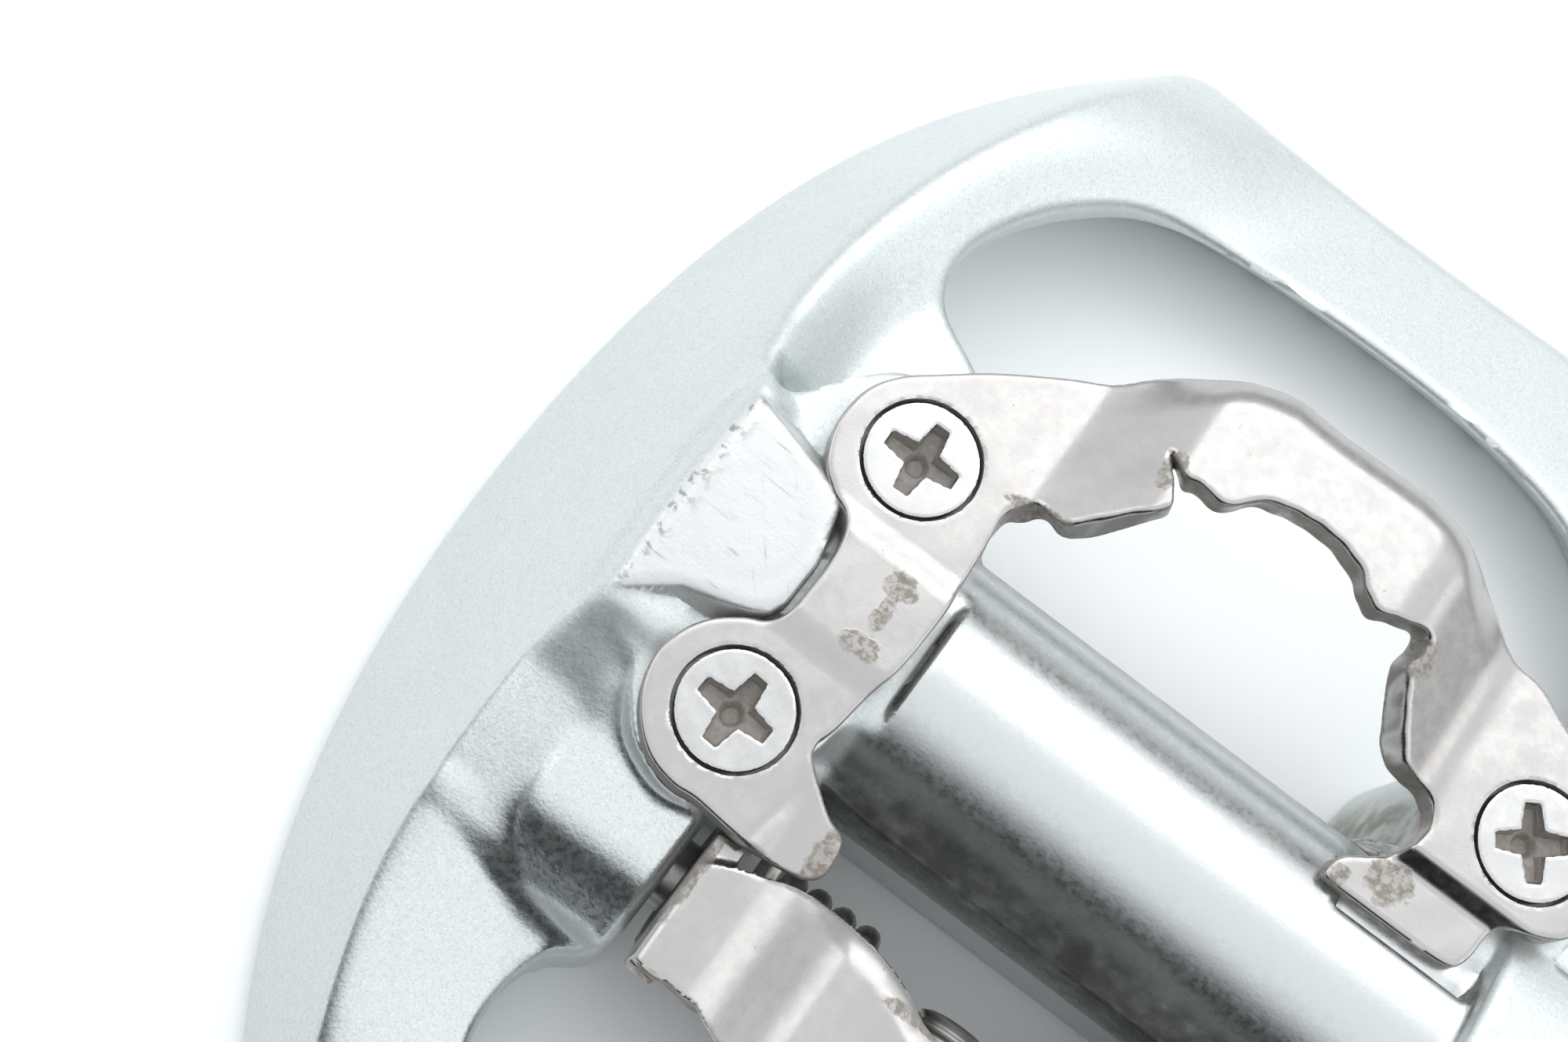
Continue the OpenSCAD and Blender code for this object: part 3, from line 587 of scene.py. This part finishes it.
# ---------------------------------------------------------------- springs, bolts and spindle


def tube(path, radius, around=12):
    """A wire along a path, with closed ends."""
    p = np.array(path, float)
    tangent = np.gradient(p, axis=0)
    tangent /= np.linalg.norm(tangent, axis=1, keepdims=True)
    side = np.cross(tangent, [1.0, 0, 0])
    bad = np.linalg.norm(side, axis=1) < 0.3
    side[bad] = np.cross(tangent[bad], [0, 0, 1.0])
    side /= np.linalg.norm(side, axis=1, keepdims=True)
    other = np.cross(tangent, side)
    a = np.arange(around) * 2 * math.pi / around
    ring = side[:, None] * np.cos(a)[None, :, None] + other[:, None] * np.sin(a)[None, :, None]
    verts = (p[:, None] + ring * radius).reshape(-1, 3)
    n = len(p)
    i = np.arange(n - 1)[:, None] * around
    j = np.arange(around)[None, :]
    k = (j + 1) % around
    faces = np.stack([i + j, i + k, i + around + k, i + around + j], -1).reshape(-1, 4).tolist()
    faces.append(list(range(around - 1, -1, -1)))
    faces.append([(n - 1) * around + m for m in range(around)])
    return verts, faces


def spring(side):
    wire, coil, turns = 0.95, 4.1, 4.25
    first, last = 14.2, 6.0
    path = [(first, -9.3 - 0.9 * t, PIVOT[2] - coil) for t in range(10)]
    for i in range(int(turns * 40) + 1):
        a = 2 * math.pi * i / 40
        path.append((first + (last - first) * i / (turns * 40), PIVOT[1] - coil * math.sin(a),
                     PIVOT[2] - coil * math.cos(a)))
    path += [(last, PIVOT[1] - coil, PIVOT[2] + 0.8 * t) for t in range(1, 11)]
    return tube([(side * x, y, z) for x, y, z in path], wire)


for side, name in ((-1, "left_spring"), (1, "right_spring")):
    verts, faces = spring(side)
    if side < 0:
        faces = [f[::-1] for f in faces]
    obj = to_object(name + "_wire", verts, faces, 60)
    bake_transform(obj)
    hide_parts(name)


def across_flats(radius, half_width, sides, turn=0.0):
    """Radius of a round bar with flats, at each angle round it."""
    def at(angle):
        step = 2 * math.pi / sides
        a = (angle - turn + step / 2) % step - step / 2
        return np.minimum(radius, half_width / np.cos(a))
    return at


THREAD_PITCH = 1.27


def thread(x, crest=7.12, depth=0.62, start=0.9, end=12.7):
    """Left-hand crank thread: its groove runs round as it goes along."""
    fade = min(1.0, max(0.0, (x - start + 0.6) / 0.6)) * min(1.0, max(0.0, (end - x + 0.3) / 0.5))
    def at(angle):
        phase = (x / THREAD_PITCH - angle / (2 * math.pi)) % 1.0
        groove = np.clip(1.15 - np.abs(phase - 0.5) * 4.6, 0, 1)
        return crest - depth * groove * fade
    return at


rows = [(-84.4, 0.01), (-84.4, 3.2)]
rows += [(-84.2 + 0.125 * i, 3.36 + 0.12 * math.cos(i * math.pi / 2)) for i in range(24)]
rows += [(-81.1, 3.5), (-70.1, 3.5), (-70.0, 3.9), (-65.5, 3.9), (-65.4, 4.7), (-65.2, 4.86)]
rows += [(-28 - 37.2 * (1 - t / 12), 6.3 - 1.44 * (1 - t / 12)) for t in range(1, 13)]
rows += [(-24, 6.3), (-20, 6.3), (-9.3, 6.3), (-9.05, 6.45), (-9.0, 8.3), (-8.75, 8.62)]
bar = across_flats(8.7, 7.5, 2)
rows += [(-8.55, 8.7), (-8.5, 8.7), (-8.46, bar), (-5, bar), (-1.6, bar), (-1.52, 8.7)]
rows += [(-1.5, 8.72), (-1.45, 8.9), (-1.3, 9.0), (-0.2, 9.0), (0.0, 8.8), (0.0, 7.3), (0.15, 6.75)]
rows += [(0.3 + 0.08 * i, thread(0.3 + 0.08 * i)) for i in range(156)]
rows += [(12.8, 6.4), (13.0, 6.1), (13.0, 3.9), (12.7, across_flats(3.6, 3.15, 6)),
         (12.6, across_flats(3.46, 3.0, 6)), (6.1, across_flats(3.46, 3.0, 6)), (6.0, 2.6), (5.2, 0.01)]
verts, faces = lathe(rows, 144)
# flats face fore and aft
spindle_obj = to_object("axle_bar", verts - [CLEAT_X, 0, 0], faces, 35)
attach(spindle_obj, "axle")
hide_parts("spindle")


def splined(angle):
    return np.where(np.abs((angle * 9 / math.pi + 0.5) % 1 - 0.5) * 2 < 0.44, 9.72, 10.6)


rows = [(-28, 7.7), (-28, 9.2)]
rows += [(-27.9 + 0.125 * i, 9.4 + 0.14 * math.cos(i * math.pi / 4)) for i in range(87)]
rows += [(-17.0, 9.5), (-17.0, 11.3), (-16.8, 11.5), (-15.2, 11.5), (-15.0, 11.3), (-15.0, 10.62),
         (-14.62, 10.6), (-14.58, splined), (-10.3, splined), (-10.0, lambda a: splined(a) - 0.25),
         (-10.0, 8.7), (-10.2, 8.42), (-12.95, 8.42), (-13.0, 7.05), (-17, 7.05), (-17, 7.7), (-28, 7.7)]
verts, faces = lathe(rows, 216)
lock_obj = to_object("lock_bolt_ring", verts - [CLEAT_X, 0, 0], faces, 30)
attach(lock_obj, "pedal")
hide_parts("lock_bolt")

rows = [(16.6, 0.01), (16.6, 2.1)]
rows += [(16.8 + 0.1 * i, 2.34 + 0.14 * math.cos(i * math.pi / 4)) for i in range(142)]
rows += [(31.0, 2.4), (31.08, 3.9), (31.3, 4.15), (33.6, 4.15), (33.9, 3.9), (34.0, 3.6), (34.0, 1.95),
         (33.8, across_flats(1.8, 1.56, 6)), (32.3, across_flats(1.73, 1.5, 6)), (32.1, 0.01)]
verts, faces = lathe(rows, 72)
verts = np.stack([verts[:, 1], -verts[:, 0], verts[:, 2] + 5.5], 1)
bolt_obj = to_object("tension_screw_bar", verts, faces, 35)
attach(bolt_obj, "tension_screw")
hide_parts("tension_bolt")

# ---------------------------------------------------------------- materials


class Shader:
    """Short calls for building one node material in millimetres."""

    def __init__(self, name, rough=0.4, metal=1.0):
        self.mat = bpy.data.materials.new(name)
        self.mat.use_nodes = True
        self.tree = self.mat.node_tree
        self.main = self.tree.nodes["Principled BSDF"]
        self.main.inputs["Metallic"].default_value = metal
        self.main.inputs["Roughness"].default_value = rough
        coords = self.tree.nodes.new("ShaderNodeTexCoord")
        self.normal_out = coords.outputs["Normal"]
        self.mm = self.node("ShaderNodeVectorMath", [coords.outputs["Object"], (1000, 1000, 1000)],
                            operation="MULTIPLY").outputs[0]
        parts = self.node("ShaderNodeSeparateXYZ", [self.mm])
        self.x, self.y, self.z = parts.outputs
        parts = self.node("ShaderNodeSeparateXYZ", [self.normal_out])
        self.nx, self.ny, self.nz = parts.outputs
        self.bump = None

    def node(self, kind, inputs=(), **settings):
        n = self.tree.nodes.new(kind)
        for key, value in settings.items():
            setattr(n, key, value)
        for i, value in enumerate(inputs):
            if value is not None:
                self.put(n.inputs[i], value)
        return n

    def put(self, socket, value):
        if isinstance(value, bpy.types.NodeSocket):
            self.tree.links.new(value, socket)
        else:
            socket.default_value = value

    def math(self, op, a, b=None, clamp=False):
        return self.node("ShaderNodeMath", [a, b], operation=op, use_clamp=clamp).outputs[0]

    def noise(self, size, detail=3.0, rough=0.55, stretch=None, at=None):
        """Noise with features of about a size in millimetres."""
        n = self.tree.nodes.new("ShaderNodeTexNoise")
        vec = at or self.mm
        if stretch:
            vec = self.node("ShaderNodeVectorMath", [vec, stretch], operation="MULTIPLY").outputs[0]
        self.put(n.inputs["Vector"], vec)
        n.inputs["Scale"].default_value = 1 / size
        n.inputs["Detail"].default_value = detail
        n.inputs["Roughness"].default_value = rough
        return n.outputs["Fac"]

    def cells(self, size):
        n = self.tree.nodes.new("ShaderNodeTexVoronoi")
        self.put(n.inputs["Vector"], self.mm)
        n.inputs["Scale"].default_value = 1 / size
        return self.node("ShaderNodeSeparateColor", [n.outputs["Color"]]).outputs[0]

    def span(self, value, low, high, to_low=0.0, to_high=1.0, smooth=True):
        n = self.tree.nodes.new("ShaderNodeMapRange")
        n.interpolation_type = "SMOOTHSTEP" if smooth else "LINEAR"
        for socket, v in zip(n.inputs[:5], (value, low, high, to_low, to_high)):
            self.put(socket, v)
        return n.outputs[0]

    def mix(self, amount, a, b):
        n = self.tree.nodes.new("ShaderNodeMix")
        n.data_type = "RGBA"
        self.put(n.inputs[0], amount)
        for socket, c in ((n.inputs[6], a), (n.inputs[7], b)):
            self.put(socket, c if isinstance(c, bpy.types.NodeSocket) else (*c, 1.0))
        return n.outputs[2]

    def spot(self, u, y, ru, ry, wobble=0.6, size=1.6):
        """A soft blotch round a place on the part, with a ragged edge."""
        dx = self.math("DIVIDE", self.math("SUBTRACT", self.x, u + CLEAT_X), ru)
        dy = self.math("DIVIDE", self.math("SUBTRACT", self.y, y), ry)
        d = self.math("SQRT", self.math("ADD", self.math("MULTIPLY", dx, dx), self.math("MULTIPLY", dy, dy)))
        ragged = self.math("SUBTRACT", self.noise(size), 0.5)
        d = self.math("ADD", d, self.math("MULTIPLY", ragged, wobble * 2))
        return self.span(d, 1.05, 0.75)

    def raise_by(self, height, distance, strength=1.0):
        n = self.tree.nodes.new("ShaderNodeBump")
        n.inputs["Strength"].default_value = strength
        n.inputs["Distance"].default_value = distance / 1000
        self.put(n.inputs["Height"], height)
        if self.bump:
            self.tree.links.new(self.bump, n.inputs["Normal"])
        self.bump = n.outputs[0]

    def done(self, color, rough=None, metal=None):
        if not isinstance(color, bpy.types.NodeSocket):
            color = (*color, 1)
        self.put(self.main.inputs["Base Color"], color)
        if rough is not None:
            self.put(self.main.inputs["Roughness"], rough)
        if metal is not None:
            self.put(self.main.inputs["Metallic"], metal)
        if self.bump:
            self.tree.links.new(self.bump, self.main.inputs["Normal"])
        return self.mat


def paint_material():
    """Silver paint on the casting, bare and scratched on the pad."""
    s = Shader("silver_paint")
    grain = s.cells(0.11)
    cloud = s.noise(9.0, 2)
    color = s.mix(cloud, (0.60, 0.64, 0.64), (0.67, 0.705, 0.705))
    color = s.mix(s.span(grain, 0.7, 1.0, 0, 0.5), color, (0.78, 0.8, 0.8))
    color = s.mix(s.span(grain, 0.25, 0.0, 0, 0.4), color, (0.42, 0.45, 0.45))
    rough = s.span(s.noise(0.5, 4), 0.3, 0.7, 0.36, 0.46)
    s.raise_by(s.noise(0.22, 3), 0.012, 0.6)
    s.raise_by(s.noise(1.6, 3), 0.03, 0.35)
    peel = s.math("MULTIPLY", s.span(s.nz, 0.6, 0.75), s.span(s.y, -8, -11))
    s.raise_by(s.math("MULTIPLY", s.noise(0.28, 2), peel), 0.02, 0.9)
    # dirt left in the hollows and on the window walls near the barrel
    wall = s.math("MULTIPLY", s.span(s.math("ABSOLUTE", s.nz), 0.75, 0.45), s.span(s.y, 8.0, 9.5))
    wall = s.math("MULTIPLY", wall, s.span(s.y, 17.0, 12.0))
    wall = s.math("MULTIPLY", wall, s.span(s.x, CLEAT_X - 18.5, CLEAT_X - 15.5))
    dirt = s.math("MULTIPLY", wall, s.span(s.noise(2.5, 4), 0.35, 0.6, 0.35, 0.9))
    specks = s.math("MULTIPLY", s.span(s.noise(0.8, 6, 0.7), 0.72, 0.78), s.span(s.noise(12, 2), 0.45, 0.65))
    dirt = s.math("MAXIMUM", dirt, s.math("MULTIPLY", specks, 0.6))
    color = s.mix(dirt, color, (0.27, 0.25, 0.21))
    # the barrel is shinier than the arms
    barrel = s.math("SQRT", s.math("ADD", s.math("MULTIPLY", s.y, s.y), s.math("MULTIPLY", s.z, s.z)))
    barrel = s.math("MULTIPLY", s.span(barrel, 10.2, 9.7), s.span(s.x, CLEAT_X - 16, CLEAT_X - 15))
    metal = s.math("MULTIPLY", s.span(barrel, 0, 1, 0.7, 1.0), s.span(dirt, 0, 1, 1, 0.2))
    rough = s.math("SUBTRACT", rough, s.math("MULTIPLY", barrel, 0.11))
    rubbed = s.math("MULTIPLY", s.span(s.y, -11.5, -15.5), s.math("SUBTRACT", 1.0, dirt))
    rubbed = s.math("MULTIPLY", rubbed, s.span(s.nz, 0.56, 0.68))
    rough = s.math("SUBTRACT", rough, s.math("MULTIPLY", rubbed, 0.13))
    metal = s.math("MAXIMUM", metal, s.math("MULTIPLY", rubbed, 0.97))
    color = s.mix(s.math("MULTIPLY", barrel, s.span(dirt, 0, 1, 1, 0.3)), color, (0.57, 0.59, 0.59))
    # painted shade: the barrel's rear, lower side is painted near black and made less metallic, standing in
    # for the dark part of the room it reflects
    painted_barrel_shade = s.math("MULTIPLY", barrel, s.span(s.y, -5.2, -7.6))
    painted_barrel_shade = s.math("MULTIPLY", painted_barrel_shade, s.span(s.noise(1.8, 4), 0.25, 0.6, 0.7, 1.0))
    color = s.mix(painted_barrel_shade, color, (0.11, 0.115, 0.11))
    metal = s.math("MULTIPLY", metal, s.span(painted_barrel_shade, 0, 1, 1, 0.5))
    rough = s.math("ADD", rough, s.math("MULTIPLY", dirt, 0.25))
    # bare pad
    pad = s.math("MULTIPLY", s.span(s.z, 9.95, 10.2), s.span(s.x, CLEAT_X - 22.5, CLEAT_X - 23.2))
    scratch_a = s.noise(0.5, 4, 0.6, (0.15, 1.4, 1))
    turned = s.node("ShaderNodeVectorRotate", [s.mm, (0, 0, 0), (0, 0, 1), 0.9],
                    rotation_type="AXIS_ANGLE").outputs[0]
    scratch_b = s.noise(0.45, 4, 0.6, (0.12, 1.6, 1), turned)
    marks = s.math("MAXIMUM", s.span(scratch_a, 0.60, 0.72), s.span(scratch_b, 0.62, 0.74))
    marks = s.math("MULTIPLY", marks, s.span(s.noise(5, 2), 0.4, 0.6))
    ring = s.spot(-28.8, 0.2, 3.9, 3.9, 0.05)
    ring = s.math("SUBTRACT", ring, s.spot(-28.8, 0.2, 3.75, 3.75, 0.05), True)
    marks = s.math("MAXIMUM", marks, s.math("MULTIPLY", ring, 0.5))
    bare = s.mix(s.math("MULTIPLY", marks, 0.55), (0.58, 0.59, 0.59), (0.22, 0.22, 0.21))
    pit = s.math("MULTIPLY", s.span(s.x, CLEAT_X - 31.6, CLEAT_X - 33.4),
                 s.span(s.noise(0.8, 5, 0.65), 0.5, 0.62))
    bare = s.mix(pit, bare, (0.25, 0.24, 0.22))
    color = s.mix(pad, color, bare)
    rough = s.math("ADD", s.math("MULTIPLY", rough, s.math("SUBTRACT", 1.0, pad)),
                   s.math("MULTIPLY", pad, s.span(scratch_a, 0.3, 0.7, 0.22, 0.42)))
    s.raise_by(s.math("MULTIPLY", s.math("MAXIMUM", marks, pit), pad), 0.05, -0.7)
    return s.done(color, rough, metal)


def plated_material(name, spots, dirt_color=(0.15, 0.125, 0.10)):
    """Plated pressed steel with worn and rusty places."""
    s = Shader(name)
    color = s.mix(s.noise(6.0, 3), (0.41, 0.397, 0.388), (0.48, 0.467, 0.458))
    color = s.mix(s.span(s.noise(0.35, 4), 0.6, 0.8, 0, 0.35), color, (0.36, 0.34, 0.325))
    rough = s.span(s.noise(0.9, 5), 0.3, 0.7, 0.19, 0.30)
    s.raise_by(s.noise(0.16, 3), 0.006, 0.5)
    s.raise_by(s.noise(2.2, 2), 0.03, 0.3)
    speck = s.math("MULTIPLY", s.span(s.noise(0.55, 6, 0.7), 0.66, 0.74), s.span(s.noise(7, 2), 0.42, 0.62))
    dirt = s.math("MULTIPLY", speck, 0.7)
    for u, y, ru, ry in spots:
        mark = s.math("MULTIPLY", s.spot(u, y, ru, ry, 0.7, 1.1),
                      s.span(s.noise(0.5, 5, 0.65), 0.4, 0.6, 0.35, 1))
        dirt = s.math("MAXIMUM", dirt, mark)
    # cut edges are darker and dirty; faces turned downward are darkened as painted shade
    edge = s.span(s.math("ABSOLUTE", s.nz), 0.4, 0.15)
    edge = s.math("MULTIPLY", edge, s.span(s.noise(1.8, 4), 0.3, 0.65, 0.25, 0.85))
    under = s.span(s.nz, -0.2, -0.6, 0, 0.4)
    # from here the dirt mask also holds this painted shade on the downward faces
    dirt = s.math("MAXIMUM", dirt, s.math("MAXIMUM", edge, under))
    color = s.mix(dirt, color, s.mix(s.noise(1.2, 4), dirt_color, (0.36, 0.33, 0.29)))
    s.raise_by(dirt, 0.04, 0.5)
    return s.done(color, s.math("ADD", rough, s.math("MULTIPLY", dirt, 0.3)), s.span(dirt, 0, 1, 1.0, 0.35))


def screw_material():
    s = Shader("screw_plating")
    color = s.mix(s.noise(2.0, 4), (0.47, 0.465, 0.46), (0.56, 0.555, 0.55))
    speck = s.span(s.noise(0.4, 6, 0.7), 0.66, 0.76, 0, 0.6)
    deep = s.span(s.z, PLATE_TOP - 0.3, PLATE_TOP - 0.9)
    grime = s.mix(s.noise(0.45, 5, 0.65), (0.12, 0.10, 0.085), (0.46, 0.42, 0.38))
    color = s.mix(s.math("MAXIMUM", speck, s.math("MULTIPLY", deep, 0.85)), color, grime)
    s.raise_by(s.noise(0.12, 3), 0.004, 0.5)
    s.raise_by(s.math("MULTIPLY", s.noise(0.35, 5), deep), 0.12, 0.8)
    rough = s.math("ADD", s.span(s.noise(0.7, 4), 0.3, 0.7, 0.2, 0.32), s.math("MULTIPLY", deep, 0.4))
    return s.done(color, rough, s.span(deep, 0, 1, 1.0, 0.25))


def plain_steel(name, light, dark, rough, grain=0.3):
    """Machined steel with fine turning marks and a little staining."""
    s = Shader(name)
    color = s.mix(s.noise(4.0, 4), dark, light)
    stain = s.math("MULTIPLY", s.span(s.noise(1.4, 6, 0.65), 0.6, 0.75), 0.5)
    color = s.mix(stain, color, (0.24, 0.21, 0.18))
    s.raise_by(s.noise(grain, 3, 0.5, (3, 0.4, 0.4)), 0.006, 0.5)
    return s.done(color, s.span(s.noise(0.8, 4), 0.3, 0.7, rough - 0.06, rough + 0.08))


def moulded(name, low, high, rough, size=0.4):
    """Moulded plastic or rubber with a fine skin."""
    s = Shader(name, metal=0.0)
    color = s.mix(s.noise(3.0, 4), low, high)
    color = s.mix(s.span(s.noise(0.6, 5), 0.6, 0.8, 0, 0.3), color, (0.3, 0.28, 0.25))
    s.raise_by(s.noise(size, 4), 0.02, 0.5)
    return s.done(color, s.span(s.noise(1.0, 4), 0.3, 0.7, rough - 0.08, rough + 0.1))


def dress(obj, mat):
    obj.data.materials.clear()
    obj.data.materials.append(mat)


paint = paint_material()
plate_mat = plated_material("plate_plating", [(-19.0, 2.4, 1.4, 1.0), (-18.9, 0.4, 0.6, 1.6),
    (-18.9, -2.2, 1.4, 0.9), (-13.0, -13.6, 1.0, 2.2), (-9.8, 18.0, 0.7, 1.6), (16.6, 6.4, 1.6, 1.5),
    (13.6, 5.0, 0.7, 1.0), (-14.6, 11.6, 2.4, 0.6), (9.8, 18.2, 1.2, 1.5)])
claw_mat = plated_material("claw_plating", [(-18.6, -19, 0.5, 3.5), (-17, -25.8, 2.5, 0.6),
    (-3, -19, 3, 0.5)])
dark_steel = plain_steel("dark_steel", (0.40, 0.39, 0.38), (0.30, 0.29, 0.28), 0.38)
bright_steel = plain_steel("bright_steel", (0.72, 0.71, 0.70), (0.60, 0.59, 0.58), 0.24)
ball_steel = plain_steel("ball_steel", (0.82, 0.82, 0.82), (0.74, 0.74, 0.74), 0.14, 1.0)
wire_steel = plain_steel("wire_steel", (0.5, 0.49, 0.47), (0.36, 0.35, 0.33), 0.33)
socket_steel = plain_steel("socket_steel", (0.46, 0.45, 0.44), (0.34, 0.33, 0.32), 0.34)
resin = moulded("lock_resin", (0.045, 0.046, 0.05), (0.075, 0.076, 0.08), 0.48)
rubber = moulded("seal_rubber", (0.025, 0.025, 0.026), (0.05, 0.05, 0.05), 0.68, 0.25)
bush = moulded("bush_resin", (0.62, 0.58, 0.47), (0.74, 0.7, 0.6), 0.45)
dress(casting_obj, paint)
dress(plate_obj, plate_mat)
dress(screws_obj, screw_material())
dress(claw_obj, claw_mat)
dress(spindle_obj, bright_steel)
dress(lock_obj, resin)
dress(bolt_obj, socket_steel)
for side in ("left", "right"):
    dress(bpy.data.objects[side + "_spring_wire"], wire_steel)
finish_of = {"race_ring": bright_steel, "adjusting_cone": bright_steel, "lock_nut": dark_steel,
             "inboard_balls": ball_steel, "outboard_balls": ball_steel, "bearing_sleeve": bright_steel,
             "inboard_bushing": bush, "axle_seal": rubber, "pivot_pin": socket_steel,
             "tension_nut": dark_steel}
for name, mat in finish_of.items():
    dress(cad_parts[name], mat)

# ---------------------------------------------------------------- stage, light and camera


def floor_material():
    s = Shader("paper", rough=0.7, metal=0.0)
    s.raise_by(s.noise(1.0, 3), 0.01, 0.2)
    return s.done(s.mix(s.noise(60, 2), (0.95, 0.965, 0.97), (0.965, 0.975, 0.98)))


half = 2.5
floor_mesh = bpy.data.meshes.new("floor")
floor_mesh.from_pydata([(sx * half, sy * half, FLAT_Z / 1000 - 0.0001) for sx, sy in
                        ((-1, -1), (1, -1), (1, 1), (-1, 1))], [], [(0, 1, 2, 3)])
floor = bpy.data.objects.new("floor", floor_mesh)
bpy.context.scene.collection.objects.link(floor)
dress(floor, floor_material())

# A bright room overhead and in front of the pedal, dimmer behind it
world = bpy.data.worlds.new("room")
bpy.context.scene.world = world
world.use_nodes = True
tree = world.node_tree
direction = tree.nodes.new("ShaderNodeTexCoord")
parts = tree.nodes.new("ShaderNodeSeparateXYZ")
tree.links.new(direction.outputs["Generated"], parts.inputs[0])


def world_math(op, a, b):
    n = tree.nodes.new("ShaderNodeMath")
    n.operation = op
    for socket, value in zip(n.inputs, (a, b)):
        if isinstance(value, bpy.types.NodeSocket):
            tree.links.new(value, socket)
        else:
            socket.default_value = value
    return n.outputs[0]


def world_span(value, low, high, to_low, to_high):
    n = tree.nodes.new("ShaderNodeMapRange")
    n.interpolation_type = "SMOOTHSTEP"
    tree.links.new(value, n.inputs[0])
    for socket, v in zip(n.inputs[1:5], (low, high, to_low, to_high)):
        socket.default_value = v
    return n.outputs[0]


ahead = world_math("ADD", parts.outputs[1], world_math("MULTIPLY", parts.outputs[2], 0.35))
glow = world_math("MULTIPLY", world_span(ahead, -0.62, -0.04, 0.03, 1.32),
                  world_span(parts.outputs[2], 0.1, 0.65, 0.55, 1.0))
tree.links.new(glow, tree.nodes["Background"].inputs["Strength"])
tree.nodes["Background"].inputs["Color"].default_value = (0.95, 0.98, 1.0, 1)


def soft_box(name, at, aim, size, power, color=(1, 1, 1)):
    d = bpy.data.lights.new(name, "AREA")
    d.shape = "RECTANGLE"
    d.size, d.size_y = size
    d.energy = power
    d.color = color
    o = bpy.data.objects.new(name, d)
    bpy.context.scene.collection.objects.link(o)
    o.location = at
    o.rotation_euler = (Vector(aim) - Vector(at)).to_track_quat("-Z", "Y").to_euler()


soft_box("key", (-0.12, 0.42, 0.52), (-0.06, 0, 0), (0.7, 0.5), 1.3)
soft_box("side", (-0.6, 0.05, 0.35), (-0.06, 0, 0), (0.3, 0.4), 0.3)
soft_box("crank_side", (0.45, 0.15, 0.3), (-0.05, 0, 0), (0.3, 0.3), 0.2, (1, 0.97, 0.94))
bpy.context.scene.view_settings.view_transform = "Standard"

# Camera: its place in millimetres around the cleat, its turn in degrees and its lens
CAMERA_PLACE = Vector((-24.25, -41.42, 150.13))
CAMERA_TURN = (14.4, -9.23, 35.89)
CAMERA_LENS = 54.42

cam_data = bpy.data.cameras.new("camera")
cam = bpy.data.objects.new("camera", cam_data)
bpy.context.scene.collection.objects.link(cam)
cam_data.sensor_width = 36.0
cam_data.lens = CAMERA_LENS
cam_data.clip_start = 0.01
place = (CAMERA_PLACE + Vector((CLEAT_X, 0, 0))) / 1000
turn = Euler([math.radians(a) for a in CAMERA_TURN])
cam.matrix_world = Matrix.Translation(place) @ turn.to_matrix().to_4x4()
bpy.context.scene.camera = cam
